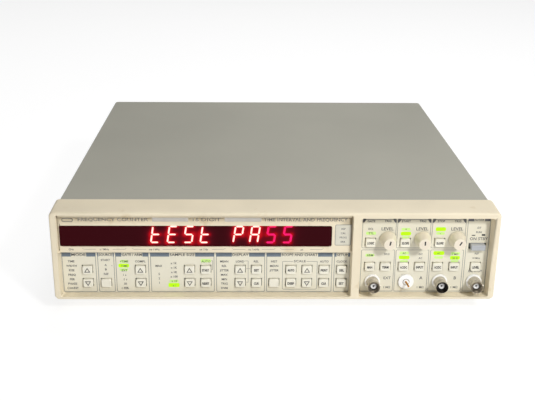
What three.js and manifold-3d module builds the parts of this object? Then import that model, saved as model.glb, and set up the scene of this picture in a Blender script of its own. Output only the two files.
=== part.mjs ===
// Bench frequency counter: a half-height instrument case with a keyed front panel.
//
// Millimetres, +Z up, the front faces -Y and +X is to the right of someone facing it.
// The part's origin is the middle of its footprint, on the surface that the feet stand on.
// Pieces are placed in the case's own frame: y runs back from the bezel's front plane, and
// z runs up from the bezel's lower edge.

import * as THREE from "three";
import { mergeVertices } from "three/addons/utils/BufferGeometryUtils.js";
import Module from "manifold-3d";

const wasm = await Module();
wasm.setup();

// ---------------------------------------------------------------- driving dimensions

const CASE_WIDTH = 355.6; // 14 inch
const CASE_DEPTH = 355.6; // 14 inch, bezel front to the cover's rear edge
const BEZEL_HEIGHT = 76.2; // 3 inch
const FOOT_HEIGHT = 12.7; // half an inch: 3.5 inch over all
const KNOB_REACH = 3; // how far the knobs stand in front of the bezel
const GAP = 0.3; // between two pieces that touch

const BEZEL_DEPTH = 29;
const BEZEL_WALL = 2.6;
const PANEL_Y = 9; // front face of both printed panels
const PANEL_THICKNESS = 1.5;
const SHELF_Y = 4.5; // front face of the display surround
const SHEET = 1.5; // cover and chassis sheet metal
const COVER_INSET = 3.1; // the cover's sides lie inside the bezel's sides
const COVER_STEP = 1.2; // and its top below the bezel's top
const COVER_CORNER = 4;

// Openings of the bezel, as [low, high] at its front plane.
const CONTROL_X = [-172.5, 61];
const CONTROL_Z = [3.4, 40.7];
const DISPLAY_TOP = 72.5; // the display surround lies above the control opening
const INPUT_X = [67.4, 172.4];
const INPUT_Z = [3.4, 70.4];
const WINDOW_X = [-170.2, 44.1];
const WINDOW_Z = [46, 63.1];
const OPENING_DRAFT = 0.9;
const OPENING_RADIUS = 1.6;

// The printed panels fill the bezel's hollow and part behind its divider.
const PANEL_SPLIT_X = 64;
const PANEL_EDGE_X = 174;
const CONTROL_PANEL_TOP = 43;

const KEY_WIDTH = 8.2;
const KEY_HEIGHT = 6.5;
const KEY_PROUD = 1.8;
const KEY_TRAVEL = 1.2;
const KEY_FLANGE = 1; // thickness of the flange behind the panel
const KEY_CLEARANCE = 0.4; // round a key in its hole, and behind its flange
const UPPER_KEY_Z = 23.7;
const LOWER_KEY_Z = 11.95;
const TRIGGER_KEY_Z = 47.5;
const INPUT_KEY_Z = 26.4;

const KNOB_Z = 50;
const KNOB_X = { ext: 90, a: 117.8, b: 145.5 };
const KNOB_TIP_RADIUS = 4.8;
const KNOB_BASE_RADIUS = 6.8;
const SHAFT_RADIUS = 3;
const SHAFT_BACK = 14;

const SOCKET_Z = 13;
const SOCKET_X = { ext: 79, a: 106.5, b: 134, ref: 162 };
const SOCKET_BARREL_RADIUS = 4.8;
const SOCKET_DISC_RADIUS = 6.4;
const SOCKET_LENGTH = 13.2; // in front of its panel
const SOCKET_RECESS = 3.2; // from the barrel's tip to the centre insulator's

const POWER_X = 162.4;
const POWER_Z = 44;
const POWER_WIDTH = 11.6;
const POWER_HEIGHT = 4.7;
const POWER_PROUD = 4.5; // latched in; it springs out by its travel
const POWER_TRAVEL = 3.5;
const POWER_CLEARANCE = 1.3; // at the button's ends; above and below it's a key's

const FRONT_BOARD_Y = 16.5;
const FRONT_BOARD_Z = [5, 71];
const DISPLAY_BOARD_X = [-170, 62];
const INPUT_BOARD_X = [66, 172];
const BOARD_THICKNESS = 1.6;
const SWITCH_SIZE = 6;
const CONTROL_BODY_SIZE = 12; // a level control behind its knob
const SUBPANEL_Y = 22;
const CHASSIS_Z = [6, 70];

const FAN_SIZE = 60;
const FAN_DEPTH = 20;
const FAN_BORE_RADIUS = 28;
const FAN_X = 84;
const FAN_Z = 38.5;
const HUB_RADIUS = 13;
const BLADE_COUNT = 7;
const AXLE_RADIUS = 2;

const REAR_PANEL_THICKNESS = 1.8;
const REAR_FRAME = 7; // width of the cover's return round the rear panel
const INLET_X = 143;
const INLET_Z = 34;
const INLET_FLANGE = [33, 40];
const INLET_BODY = [27, 33];
const INLET_CAVITY = [24, 16];
const INLET_CAVITY_DROP = 5.5; // the plug's cavity lies below the inlet's middle
const REAR_SOCKET_X = [-150, -122, -94, -66, -38];
const REAR_SOCKET_Z = 17;
const REAR_SOCKET_LENGTH = 11; // behind its panel
const BUS_PORT_X = -118;
const SERIAL_PORT_X = -38;
const PORT_Z = 48;
const PORT_WIDTH = 54;
const PORT_HEIGHT = 12;
const PORT_REACH = 5;
const REAR_BOARD_X = [-168, 4];
const REAR_BOARD_Z = [6, 66];
const REAR_BOARD_SETBACK = 12; // from the board to the rear panel

// The main board, and what stands on it: [low, high] in x and y, and a height.
const MAIN_BOARD_Z = 10;
const MAIN_BOARD_X = [-165, 70];
const MAIN_BOARD_Y = [40, 328];
const MAIN_BOARD_PARTS = [
  { part: "timebase oscillator", x: [-150, -99], y: [230, 281], height: 38 },
  { part: "shielded input amplifier", x: [-20, 60], y: [50, 110], height: 20 },
  { part: "front ribbon header", x: [-140, -90], y: [48, 56], height: 9 },
  { part: "rear ribbon header", x: [-60, 0], y: [300, 308], height: 9 },
  { part: "processor", x: [-60, -20], y: [180, 220], height: 5 },
  { part: "counting array", x: [-120, -80], y: [140, 180], height: 5 },
];

// The mains transformer: its foot plate, laminated core and winding.
const TRANSFORMER_FOOT = { x: [92, 164], y: [232, 300], thickness: 2 };
const TRANSFORMER_CORE = { x: [98, 158], y: [240, 292], top: 56 };
const TRANSFORMER_WINDING = { x: [108, 148], y: [232, 300], z: [14, 46] };

const FOOT_X = 140;
const FOOT_Y = [42, 322];
const FOOT_RADIUS = 11;

// Every key's column, and the rows that it has.
const CONTROL_KEYS = [
  { x: -151.3, upper: "mode_up", lower: "mode_down" },
  { x: -136.7, lower: "source" },
  { x: -108.7, upper: "gate_up", lower: "gate_down" },
  { x: -69.2, upper: "sample_size_up", lower: "sample_size_down" },
  { x: -56.2, upper: "start", lower: "reset" },
  { x: -28.4, upper: "display_up", lower: "display_down" },
  { x: -15.2, upper: "reference_set", lower: "reference_clear" },
  { x: -1, lower: "chart_select" },
  { x: 12.7, upper: "scale_auto", lower: "scale_show" },
  { x: 25.7, upper: "scale_up", lower: "scale_down" },
  { x: 39.5, upper: "print", lower: "print_clear" },
  { x: 53.7, upper: "setup_select", lower: "setup_set" },
];
const TRIGGER_KEYS = [
  { x: 76.1, name: "logic" },
  { x: 104, name: "a_slope" },
  { x: 131.7, name: "b_slope" },
];
const INPUT_KEYS = [
  { x: 76.3, name: "manual" },
  { x: 88.9, name: "ext_termination" },
  { x: 103.7, name: "a_coupling" },
  { x: 116.8, name: "a_input" },
  { x: 131.4, name: "b_coupling" },
  { x: 144.9, name: "b_input" },
  { x: 162.3, name: "reference_level" },
];

// ---------------------------------------------------------------- worked out from those

const HALF_WIDTH = CASE_WIDTH / 2;
const PANEL_BACK = PANEL_Y + PANEL_THICKNESS;
const COVER_HALF = HALF_WIDTH - COVER_INSET;
const COVER_TOP = BEZEL_HEIGHT - COVER_STEP;
const COVER_FRONT = BEZEL_DEPTH + GAP;
const FLOOR_TOP = COVER_STEP + SHEET; // upper face of the bottom cover
const REAR_PANEL_BACK = CASE_DEPTH - SHEET - GAP; // outer face of the rear panel
const REAR_PANEL_FRONT = REAR_PANEL_BACK - REAR_PANEL_THICKNESS;
const KEY_FACE_Y = PANEL_Y - KEY_PROUD;
const KEY_FLANGE_BACK = PANEL_BACK + GAP + KEY_CLEARANCE + KEY_FLANGE;
const PANEL_BOTTOM = BEZEL_WALL + GAP;
const PANEL_TOP = BEZEL_HEIGHT - BEZEL_WALL - GAP;
const SOCKET_DISC_BACK = PANEL_Y - GAP;
const SOCKET_DISC_FRONT = SOCKET_DISC_BACK - 1.8;
const SOCKET_TIP = PANEL_Y - SOCKET_LENGTH;
const INSULATOR_RADIUS = 2.4;
const FAN_BACK = REAR_PANEL_FRONT - GAP;
const FAN_FRONT = FAN_BACK - FAN_DEPTH;
const REAR_TIP = REAR_PANEL_BACK + REAR_SOCKET_LENGTH;
const MIDDLE_Y = (SOCKET_TIP + REAR_TIP) / 2; // the sockets reach furthest at both ends

// Depths of the cutters that pass right through the front panels and the rear panel.
const THROUGH_FRONT = [0, PANEL_BACK + 9];
const THROUGH_REAR = [REAR_PANEL_FRONT - 12, REAR_PANEL_BACK + 12];

// ---------------------------------------------------------------- solids

// A closed three.js geometry as a solid that can be joined and cut.
function solid(geometry) {
  const bare = geometry.index ? geometry.toNonIndexed() : geometry.clone();
  bare.deleteAttribute("normal");
  bare.deleteAttribute("uv");
  const merged = mergeVertices(bare, 1e-3);
  const mesh = new wasm.Mesh({
    numProp: 3,
    vertProperties: merged.attributes.position.array,
    triVerts: new Uint32Array(merged.index.array),
  });
  return new wasm.Manifold(mesh);
}

function geometryOf(body) {
  const { vertProperties, triVerts } = body.getMesh();
  const geometry = new THREE.BufferGeometry();
  geometry.setAttribute("position", new THREE.BufferAttribute(vertProperties, 3));
  geometry.setIndex(new THREE.BufferAttribute(triVerts, 1));
  geometry.computeVertexNormals();
  return geometry;
}

const join = (...bodies) => bodies.flat().reduce((sum, body) => sum.add(body));
const cut = (body, ...tools) => tools.flat().reduce((rest, tool) => rest.subtract(tool), body);

// A block between low and high values along each axis.
function block([x0, x1], [y0, y1], [z0, z1]) {
  const box = new THREE.BoxGeometry(x1 - x0, y1 - y0, z1 - z0);
  return solid(box.translate((x0 + x1) / 2, (y0 + y1) / 2, (z0 + z1) / 2));
}

// A block given by its middle in x and z.
function centredBlock(x, z, width, height, depths) {
  return block([x - width / 2, x + width / 2], depths, [z - height / 2, z + height / 2]);
}

// A round rod along y.
function rod(x, z, radius, [y0, y1], sides = 24) {
  const cylinder = new THREE.CylinderGeometry(radius, radius, y1 - y0, sides);
  return solid(cylinder.translate(x, (y0 + y1) / 2, z));
}

// A turned piece about the y axis, from [radius, y] pairs that run from back to front.
function turned(profile, sides = 24) {
  const points = profile.map(([radius, y]) => new THREE.Vector2(radius, y)).reverse();
  return solid(new THREE.LatheGeometry(points, sides));
}

// The outline of a rounded rectangle in x and z, anticlockwise from the front.
function roundedOutline(x, z, width, height, radius, cornerSteps) {
  const outline = [];
  const corners = [
    [1, 1, 0],
    [-1, 1, 1],
    [-1, -1, 2],
    [1, -1, 3],
  ];
  for (const [signX, signZ, quarter] of corners) {
    for (let step = 0; step <= cornerSteps; step += 1) {
      const angle = (quarter + step / cornerSteps) * (Math.PI / 2);
      outline.push([
        x + signX * (width / 2 - radius) + radius * Math.cos(angle),
        z + signZ * (height / 2 - radius) + radius * Math.sin(angle),
      ]);
    }
  }
  return outline;
}

// A closed skin through outlines at rising y, each a list of [x, z] with the same count.
function loft(rings) {
  const count = rings[0].outline.length;
  const positions = rings.flatMap(({ y, outline }) => outline.flatMap(([x, z]) => [x, y, z]));
  const faces = [];
  for (let ring = 0; ring < rings.length - 1; ring += 1) {
    for (let i = 0; i < count; i += 1) {
      const a = ring * count + i;
      const b = ring * count + ((i + 1) % count);
      faces.push(a, a + count, b, b, a + count, b + count);
    }
  }
  const last = (rings.length - 1) * count;
  for (let i = 1; i < count - 1; i += 1) {
    faces.push(0, i, i + 1, last, last + i + 1, last + i);
  }
  const geometry = new THREE.BufferGeometry();
  geometry.setAttribute("position", new THREE.Float32BufferAttribute(positions, 3));
  geometry.setIndex(faces);
  return solid(geometry);
}

// A drafted cutter for an opening that narrows from the front plane to depth.
function draftedOpening([x0, x1], [z0, z1], depth, draft) {
  const x = (x0 + x1) / 2;
  const z = (z0 + z1) / 2;
  const ring = (y, inset) => ({
    y,
    outline: roundedOutline(x, z, x1 - x0 - 2 * inset, z1 - z0 - 2 * inset, OPENING_RADIUS, 3),
  });
  const perMm = draft / depth;
  return loft([ring(-1, -perMm), ring(depth, draft)]);
}

// ---------------------------------------------------------------- pieces

const finishes = {
  bezel: { color: 0xdecfae, roughness: 0.5, metalness: 0 },
  panel: { color: 0xd0cab4, roughness: 0.6, metalness: 0 },
  cover: { color: 0xa19f93, roughness: 0.65, metalness: 0 },
  bareMetal: { color: 0xb8b8b4, roughness: 0.4, metalness: 0.9 },
  window: { color: 0x34141c, roughness: 0.15, metalness: 0 },
  key: { color: 0xebe8da, roughness: 0.5, metalness: 0 },
  knob: { color: 0xe0d6bc, roughness: 0.45, metalness: 0 },
  power: { color: 0x9aa3ab, roughness: 0.5, metalness: 0 },
  nickel: { color: 0xc2bfb6, roughness: 0.25, metalness: 1 },
  insulator: { color: 0xf2f1ee, roughness: 0.4, metalness: 0 },
  circuitBoard: { color: 0x2c5a36, roughness: 0.6, metalness: 0 },
  blackPlastic: { color: 0x1c1c1e, roughness: 0.5, metalness: 0 },
  rubber: { color: 0x2b2b2b, roughness: 0.9, metalness: 0 },
  core: { color: 0x4a4a4c, roughness: 0.6, metalness: 0.6 },
};

const instrument = new THREE.Group();
instrument.position.set(0, -MIDDLE_Y, FOOT_HEIGHT);

function place(name, finish, body, x = 0, y = 0, z = 0) {
  const mesh = new THREE.Mesh(geometryOf(body), new THREE.MeshStandardMaterial(finishes[finish]));
  mesh.name = name;
  mesh.position.set(x, y, z);
  instrument.add(mesh);
}

// The moulded frame: a thin shell with a rounded front edge, a recessed display surround,
// and two openings that the printed panels close from behind.
function frontBezel() {
  const ring = (y, inset, radius) => ({
    y,
    outline: roundedOutline(
      0,
      BEZEL_HEIGHT / 2,
      CASE_WIDTH - 2 * inset,
      BEZEL_HEIGHT - 2 * inset,
      radius,
      4,
    ),
  });
  const outer = loft([
    ring(0, 2, 3),
    ring(0.5, 1.1, 3.5),
    ring(1.8, 0.5, 4),
    ring(BEZEL_DEPTH, 0, 4),
  ]);
  const hollow = block(
    [-HALF_WIDTH + 3.2, HALF_WIDTH - 3.2],
    [PANEL_Y - GAP, BEZEL_DEPTH + 1],
    [BEZEL_WALL, BEZEL_HEIGHT - BEZEL_WALL],
  );
  const surround = draftedOpening(CONTROL_X, [CONTROL_Z[0], DISPLAY_TOP], SHELF_Y, 0.5);
  const controls = draftedOpening(CONTROL_X, CONTROL_Z, PANEL_Y, OPENING_DRAFT);
  const inputs = draftedOpening(INPUT_X, INPUT_Z, PANEL_Y, OPENING_DRAFT);
  const window = centredBlock(
    (WINDOW_X[0] + WINDOW_X[1]) / 2,
    (WINDOW_Z[0] + WINDOW_Z[1]) / 2,
    WINDOW_X[1] - WINDOW_X[0],
    WINDOW_Z[1] - WINDOW_Z[0],
    [0, PANEL_Y],
  );
  return cut(outer, hollow, surround, controls, inputs, window);
}

const keyHole = ({ x, z }) =>
  centredBlock(
    x,
    z,
    KEY_WIDTH + 2 * KEY_CLEARANCE,
    KEY_HEIGHT + 2 * KEY_CLEARANCE,
    THROUGH_FRONT,
  );

const controlKeyPlaces = CONTROL_KEYS.flatMap(({ x, upper, lower }) => [
  ...(upper ? [{ name: upper, x, z: UPPER_KEY_Z }] : []),
  ...(lower ? [{ name: lower, x, z: LOWER_KEY_Z }] : []),
]);
const inputKeyPlaces = [
  ...TRIGGER_KEYS.map(({ x, name }) => ({ name, x, z: TRIGGER_KEY_Z })),
  ...INPUT_KEYS.map(({ x, name }) => ({ name, x, z: INPUT_KEY_Z })),
];

function controlPanel() {
  const sheet = block(
    [-PANEL_EDGE_X, PANEL_SPLIT_X - 0.5],
    [PANEL_Y, PANEL_BACK],
    [PANEL_BOTTOM, CONTROL_PANEL_TOP],
  );
  return cut(sheet, controlKeyPlaces.map(keyHole));
}

function inputPanel() {
  const sheet = block(
    [PANEL_SPLIT_X + 0.5, PANEL_EDGE_X],
    [PANEL_Y, PANEL_BACK],
    [PANEL_BOTTOM, PANEL_TOP],
  );
  const roundHole = (x, z, radius) => rod(x, z, radius, THROUGH_FRONT, 16);
  return cut(
    sheet,
    inputKeyPlaces.map(keyHole),
    Object.values(KNOB_X).map((x) => roundHole(x, KNOB_Z, SHAFT_RADIUS + 0.6)),
    Object.values(SOCKET_X).map((x) => roundHole(x, SOCKET_Z, SOCKET_BARREL_RADIUS + GAP)),
    centredBlock(
      POWER_X,
      POWER_Z,
      POWER_WIDTH + 2 * POWER_CLEARANCE,
      POWER_HEIGHT + 2 * KEY_CLEARANCE,
      THROUGH_FRONT,
    ),
  );
}

// A push button about the y axis: a face with a softened edge, straight sides, and a flange
// that its panel holds back.
function pushButton(width, height, face, flangeBack, flangeReach) {
  const outline = (grow) => roundedOutline(0, 0, width + grow, height + grow, 0.8, 1);
  const flangeFront = flangeBack - KEY_FLANGE;
  return loft([
    { y: face, outline: outline(-1) },
    { y: face + 0.5, outline: outline(-0.3) },
    { y: flangeFront, outline: outline(0) },
    { y: flangeFront, outline: outline(2 * flangeReach) },
    { y: flangeBack, outline: outline(2 * flangeReach) },
  ]);
}

const keyCap = () =>
  pushButton(KEY_WIDTH, KEY_HEIGHT, KEY_FACE_Y, KEY_FLANGE_BACK, KEY_CLEARANCE + 0.5);

const powerButton = () =>
  pushButton(
    POWER_WIDTH,
    POWER_HEIGHT,
    PANEL_Y - POWER_PROUD,
    PANEL_BACK + POWER_TRAVEL + GAP + KEY_FLANGE,
    POWER_CLEARANCE + 0.7,
  );

// A tapered knob on its control's shaft.
function levelKnob() {
  const base = PANEL_Y - 0.6;
  return turned([
    [0, SHAFT_BACK],
    [SHAFT_RADIUS, SHAFT_BACK],
    [SHAFT_RADIUS, base],
    [KNOB_BASE_RADIUS, base],
    [KNOB_BASE_RADIUS, base - 1.4],
    [KNOB_TIP_RADIUS + 0.4, -KNOB_REACH + 1],
    [KNOB_TIP_RADIUS, -KNOB_REACH],
    [0, -KNOB_REACH],
  ]);
}

// The part of a coaxial socket's profile that runs through the panel to its disc.
const SOCKET_ROOT = [
  [0, FRONT_BOARD_Y - GAP],
  [SOCKET_BARREL_RADIUS - GAP, FRONT_BOARD_Y - GAP],
  [SOCKET_BARREL_RADIUS - GAP, SOCKET_DISC_BACK],
  [SOCKET_DISC_RADIUS, SOCKET_DISC_BACK],
  [SOCKET_DISC_RADIUS, SOCKET_DISC_FRONT],
];

// A coaxial socket: a body through the panel, an insulating disc, and a barrel with two
// bayonet lugs round a centre insulator.
function coaxialSocket() {
  const bore = SOCKET_BARREL_RADIUS - 0.8;
  const contact = 0.9; // radius of the centre contact's hole
  const barrel = turned(
    [
      ...SOCKET_ROOT,
      [SOCKET_BARREL_RADIUS, SOCKET_DISC_FRONT],
      [SOCKET_BARREL_RADIUS, SOCKET_TIP],
      [bore, SOCKET_TIP],
      [bore, SOCKET_DISC_FRONT],
      [INSULATOR_RADIUS, SOCKET_DISC_FRONT],
      [INSULATOR_RADIUS, SOCKET_TIP + SOCKET_RECESS],
      [contact, SOCKET_TIP + SOCKET_RECESS],
      [contact, SOCKET_DISC_FRONT - 2],
      [0, SOCKET_DISC_FRONT - 2],
    ],
    20,
  );
  const lugs = [-1, 1].map((side) => {
    const pin = new THREE.CylinderGeometry(1, 1, 1.8, 8).rotateZ(Math.PI / 2);
    return solid(pin.translate(side * (SOCKET_BARREL_RADIUS + 0.4), SOCKET_TIP + 4.5, 0));
  });
  return join(barrel, lugs);
}

// The socket of channel A has lost its barrel: its disc, the stub of the centre insulator
// and the bent centre pin are left.
function brokenSocket() {
  const stubFront = SOCKET_DISC_FRONT - 0.8;
  const remains = turned(
    [
      ...SOCKET_ROOT,
      [INSULATOR_RADIUS, SOCKET_DISC_FRONT],
      [INSULATOR_RADIUS, stubFront],
      [0, stubFront],
    ],
    20,
  );
  const bend = new THREE.QuadraticBezierCurve3(
    new THREE.Vector3(0, SOCKET_DISC_FRONT, 0),
    new THREE.Vector3(0, 3.2, 0),
    new THREE.Vector3(0.5, 0.2, -2.4),
  );
  const section = new THREE.Shape().absarc(0, 0, 0.7, 0, 2 * Math.PI);
  const pin = new THREE.ExtrudeGeometry(section, {
    steps: 6,
    curveSegments: 4,
    extrudePath: bend,
  });
  return join(remains, solid(pin));
}

// A key's switch on its board, clear of the pressed key's flange.
const switchBody = ({ x, z }) =>
  centredBlock(x, z, SWITCH_SIZE, SWITCH_SIZE, [
    KEY_FLANGE_BACK + KEY_TRAVEL + GAP,
    FRONT_BOARD_Y + 0.5,
  ]);

// The display board carries the numeral modules behind the window and the control keys'
// switches below them.
function displayBoard() {
  const board = block(
    DISPLAY_BOARD_X,
    [FRONT_BOARD_Y, FRONT_BOARD_Y + BOARD_THICKNESS],
    FRONT_BOARD_Z,
  );
  const moduleWidth = (WINDOW_X[1] - WINDOW_X[0]) / 4;
  const moduleHeight = 19;
  const modules = [0, 1, 2, 3].map((index) =>
    centredBlock(
      WINDOW_X[0] + (index + 0.5) * moduleWidth,
      (WINDOW_Z[0] + WINDOW_Z[1]) / 2,
      moduleWidth - 0.4,
      moduleHeight,
      [PANEL_Y + 0.5, FRONT_BOARD_Y + 0.5],
    ),
  );
  return join(board, modules, controlKeyPlaces.map(switchBody));
}

// The input board carries the level controls, the input keys' switches and the power switch.
function inputBoard() {
  const board = block(
    INPUT_BOARD_X,
    [FRONT_BOARD_Y, FRONT_BOARD_Y + BOARD_THICKNESS],
    FRONT_BOARD_Z,
  );
  const controls = Object.values(KNOB_X).map((x) =>
    cut(
      centredBlock(x, KNOB_Z, CONTROL_BODY_SIZE, CONTROL_BODY_SIZE, [
        PANEL_BACK + 0.5,
        FRONT_BOARD_Y + 0.5,
      ]),
      rod(x, KNOB_Z, SHAFT_RADIUS + 0.4, [0, SHAFT_BACK + 0.5], 16),
    ),
  );
  return join(board, controls, inputKeyPlaces.map(switchBody));
}

// The chassis: a U of sheet metal whose front wall stands behind the boards.
function chassisFrame() {
  const side = COVER_HALF - SHEET - 0.5;
  const opening = (xs) => block(xs, [SUBPANEL_Y - 1, SUBPANEL_Y + SHEET + 1], [22, 54]);
  const frontWall = cut(
    block([-side, side], [SUBPANEL_Y, SUBPANEL_Y + SHEET], CHASSIS_Z),
    opening([-140, -40]),
    opening([90, 150]),
  );
  const depths = [SUBPANEL_Y, REAR_PANEL_FRONT - GAP];
  return join(
    frontWall,
    block([-side, -side + SHEET], depths, CHASSIS_Z),
    block([side - SHEET, side], depths, CHASSIS_Z),
  );
}

// Plan outline of the case behind the bezel, with rounded rear corners, as a prism.
function casePrism(inset, [z0, z1], front = COVER_FRONT) {
  const half = COVER_HALF - inset;
  const back = CASE_DEPTH - inset;
  const radius = COVER_CORNER - inset;
  const plan = new THREE.Shape();
  plan.moveTo(-half, front);
  plan.lineTo(half, front);
  plan.lineTo(half, back - radius);
  plan.absarc(half - radius, back - radius, radius, 0, Math.PI / 2);
  plan.lineTo(-half + radius, back);
  plan.absarc(-half + radius, back - radius, radius, Math.PI / 2, Math.PI);
  plan.closePath();
  const prism = new THREE.ExtrudeGeometry(plan, {
    depth: z1 - z0,
    bevelEnabled: false,
    curveSegments: 4,
  });
  return solid(prism.translate(0, 0, z0));
}

// The top cover: one folded sheet for the top, both sides and a narrow return round the back.
function topCover() {
  const bottom = FLOOR_TOP + GAP;
  const section = new THREE.Shape();
  section.moveTo(-COVER_HALF, bottom);
  section.lineTo(COVER_HALF, bottom);
  section.lineTo(COVER_HALF, COVER_TOP - SHEET);
  section.absarc(COVER_HALF - SHEET, COVER_TOP - SHEET, SHEET, 0, Math.PI / 2);
  section.lineTo(-COVER_HALF + SHEET, COVER_TOP);
  section.absarc(-COVER_HALF + SHEET, COVER_TOP - SHEET, SHEET, Math.PI / 2, Math.PI);
  section.closePath();
  const fold = new THREE.ExtrudeGeometry(section, {
    depth: CASE_DEPTH,
    bevelEnabled: false,
    curveSegments: 3,
  });
  const folded = solid(fold.rotateX(Math.PI / 2).translate(0, CASE_DEPTH + 1, 0));
  const shell = cut(
    casePrism(0, [bottom - 1, COVER_TOP + 1]).intersect(folded),
    casePrism(SHEET, [bottom - 1, COVER_TOP - SHEET], COVER_FRONT - 1),
  );
  const rearOpening = block(
    [-COVER_HALF + REAR_FRAME, COVER_HALF - REAR_FRAME],
    [CASE_DEPTH - 8, CASE_DEPTH + 1],
    [bottom - 1, COVER_TOP - 5.5],
  );
  return cut(shell, rearOpening);
}

const bottomCover = () => casePrism(0, [COVER_STEP, FLOOR_TOP]);

// Nine air slots in the rear panel, each as long as the fan's bore allows.
function fanSlots() {
  const pitch = 6;
  const height = 3.2;
  const reach = FAN_BORE_RADIUS - 0.5;
  const rows = [-4, -3, -2, -1, 0, 1, 2, 3, 4];
  return rows.map((row) => {
    const length = 2 * Math.sqrt(reach ** 2 - (Math.abs(row) * pitch + height / 2) ** 2);
    return centredBlock(FAN_X, FAN_Z + row * pitch, length, height, THROUGH_REAR);
  });
}

function rearPanel() {
  const half = COVER_HALF - COVER_CORNER + 0.5;
  const sheet = block(
    [-half, half],
    [REAR_PANEL_FRONT, REAR_PANEL_BACK],
    [FLOOR_TOP + GAP, COVER_TOP - SHEET - GAP],
  );
  return cut(
    sheet,
    fanSlots(),
    centredBlock(INLET_X, INLET_Z, INLET_BODY[0] + 1, INLET_BODY[1] + 1, THROUGH_REAR),
    REAR_SOCKET_X.map((x) =>
      rod(x, REAR_SOCKET_Z, SOCKET_BARREL_RADIUS + GAP, THROUGH_REAR, 16),
    ),
    [BUS_PORT_X, SERIAL_PORT_X].map((x) =>
      centredBlock(x, PORT_Z, PORT_WIDTH + 2, PORT_HEIGHT + 2, THROUGH_REAR),
    ),
  );
}

// The rear connector board carries the coaxial outputs and the two data ports.
function rearConnectorBoard() {
  const boardBack = REAR_PANEL_FRONT - REAR_BOARD_SETBACK;
  const board = block(REAR_BOARD_X, [boardBack - BOARD_THICKNESS, boardBack], REAR_BOARD_Z);
  const root = boardBack - 0.5;
  const bore = SOCKET_BARREL_RADIUS - 0.8;
  const sockets = REAR_SOCKET_X.map((x) =>
    cut(
      rod(x, REAR_SOCKET_Z, SOCKET_BARREL_RADIUS, [root, REAR_TIP], 16),
      rod(x, REAR_SOCKET_Z, bore, [REAR_TIP - 8, REAR_TIP + 1], 16),
    ),
  );
  const pins = REAR_SOCKET_X.map((x) =>
    rod(x, REAR_SOCKET_Z, INSULATOR_RADIUS, [REAR_TIP - 9, REAR_TIP - 1], 12),
  );
  const ports = [BUS_PORT_X, SERIAL_PORT_X].map((x) =>
    cut(
      centredBlock(x, PORT_Z, PORT_WIDTH, PORT_HEIGHT, [root, REAR_PANEL_BACK + PORT_REACH]),
      centredBlock(x, PORT_Z, PORT_WIDTH - 12, PORT_HEIGHT - 5, [
        REAR_PANEL_BACK,
        REAR_PANEL_BACK + PORT_REACH + 1,
      ]),
    ),
  );
  return join(board, sockets, pins, ports);
}

// The mains inlet: a flange, a body through the panel, and the cavity that the plug enters.
function powerInlet() {
  const flange = centredBlock(INLET_X, INLET_Z, ...INLET_FLANGE, [
    REAR_PANEL_BACK + GAP,
    REAR_PANEL_BACK + 3.2,
  ]);
  const body = centredBlock(INLET_X, INLET_Z, ...INLET_BODY, [
    REAR_PANEL_BACK - 24,
    REAR_PANEL_BACK + 1,
  ]);
  const cavity = centredBlock(INLET_X, INLET_Z - INLET_CAVITY_DROP, ...INLET_CAVITY, [
    REAR_PANEL_BACK - 14,
    REAR_PANEL_BACK + 5,
  ]);
  return cut(join(flange, body), cavity);
}

// The fan's frame: a square duct with a motor plate on four struts and the axle.
function fanFrame() {
  const duct = cut(
    centredBlock(0, 0, FAN_SIZE, FAN_SIZE, [FAN_FRONT, FAN_BACK]),
    rod(0, 0, FAN_BORE_RADIUS, [FAN_FRONT - 1, FAN_BACK + 1], 32),
  );
  const strutDepths = [FAN_FRONT, FAN_FRONT + 2];
  return join(
    duct,
    centredBlock(0, 0, 2 * FAN_BORE_RADIUS + 2, 4, strutDepths),
    centredBlock(0, 0, 4, 2 * FAN_BORE_RADIUS + 2, strutDepths),
    rod(0, 0, HUB_RADIUS, strutDepths),
    rod(0, 0, AXLE_RADIUS, [FAN_FRONT + 1, FAN_FRONT + 10]),
  );
}

// The impeller: a hub that runs on the axle, with pitched blades.
function fanImpeller() {
  const front = FAN_FRONT + 3;
  const back = FAN_BACK - 1.5;
  const bore = AXLE_RADIUS + GAP;
  const hub = turned([
    [0, back],
    [HUB_RADIUS, back],
    [HUB_RADIUS, front],
    [bore, front],
    [bore, FAN_FRONT + 11],
    [0, FAN_FRONT + 11],
  ]);
  const bladeInner = HUB_RADIUS - 1;
  const bladeOuter = FAN_BORE_RADIUS - 1.6;
  const blades = Array.from({ length: BLADE_COUNT }, (_, index) => {
    const blade = new THREE.BoxGeometry(bladeOuter - bladeInner, 1.2, 15);
    blade.rotateX(THREE.MathUtils.degToRad(50));
    blade.translate((bladeOuter + bladeInner) / 2, (front + back) / 2, 0);
    return solid(blade.rotateY((index * 2 * Math.PI) / BLADE_COUNT));
  });
  return join(hub, blades);
}

// The main board stands on four posts over the bottom cover and carries MAIN_BOARD_PARTS.
function mainBoard() {
  const top = MAIN_BOARD_Z + BOARD_THICKNESS;
  const postInset = 10;
  const posts = MAIN_BOARD_X.flatMap((edgeX, right) =>
    MAIN_BOARD_Y.map((edgeY, rear) => {
      const x = edgeX + (right ? -postInset : postInset);
      const y = edgeY + (rear ? -postInset : postInset);
      return block([x - 3, x + 3], [y - 3, y + 3], [FLOOR_TOP + GAP, MAIN_BOARD_Z + 0.5]);
    }),
  );
  return join(
    block(MAIN_BOARD_X, MAIN_BOARD_Y, [MAIN_BOARD_Z, top]),
    posts,
    MAIN_BOARD_PARTS.map(({ x, y, height }) => block(x, y, [top - 0.5, top + height])),
  );
}

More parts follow.
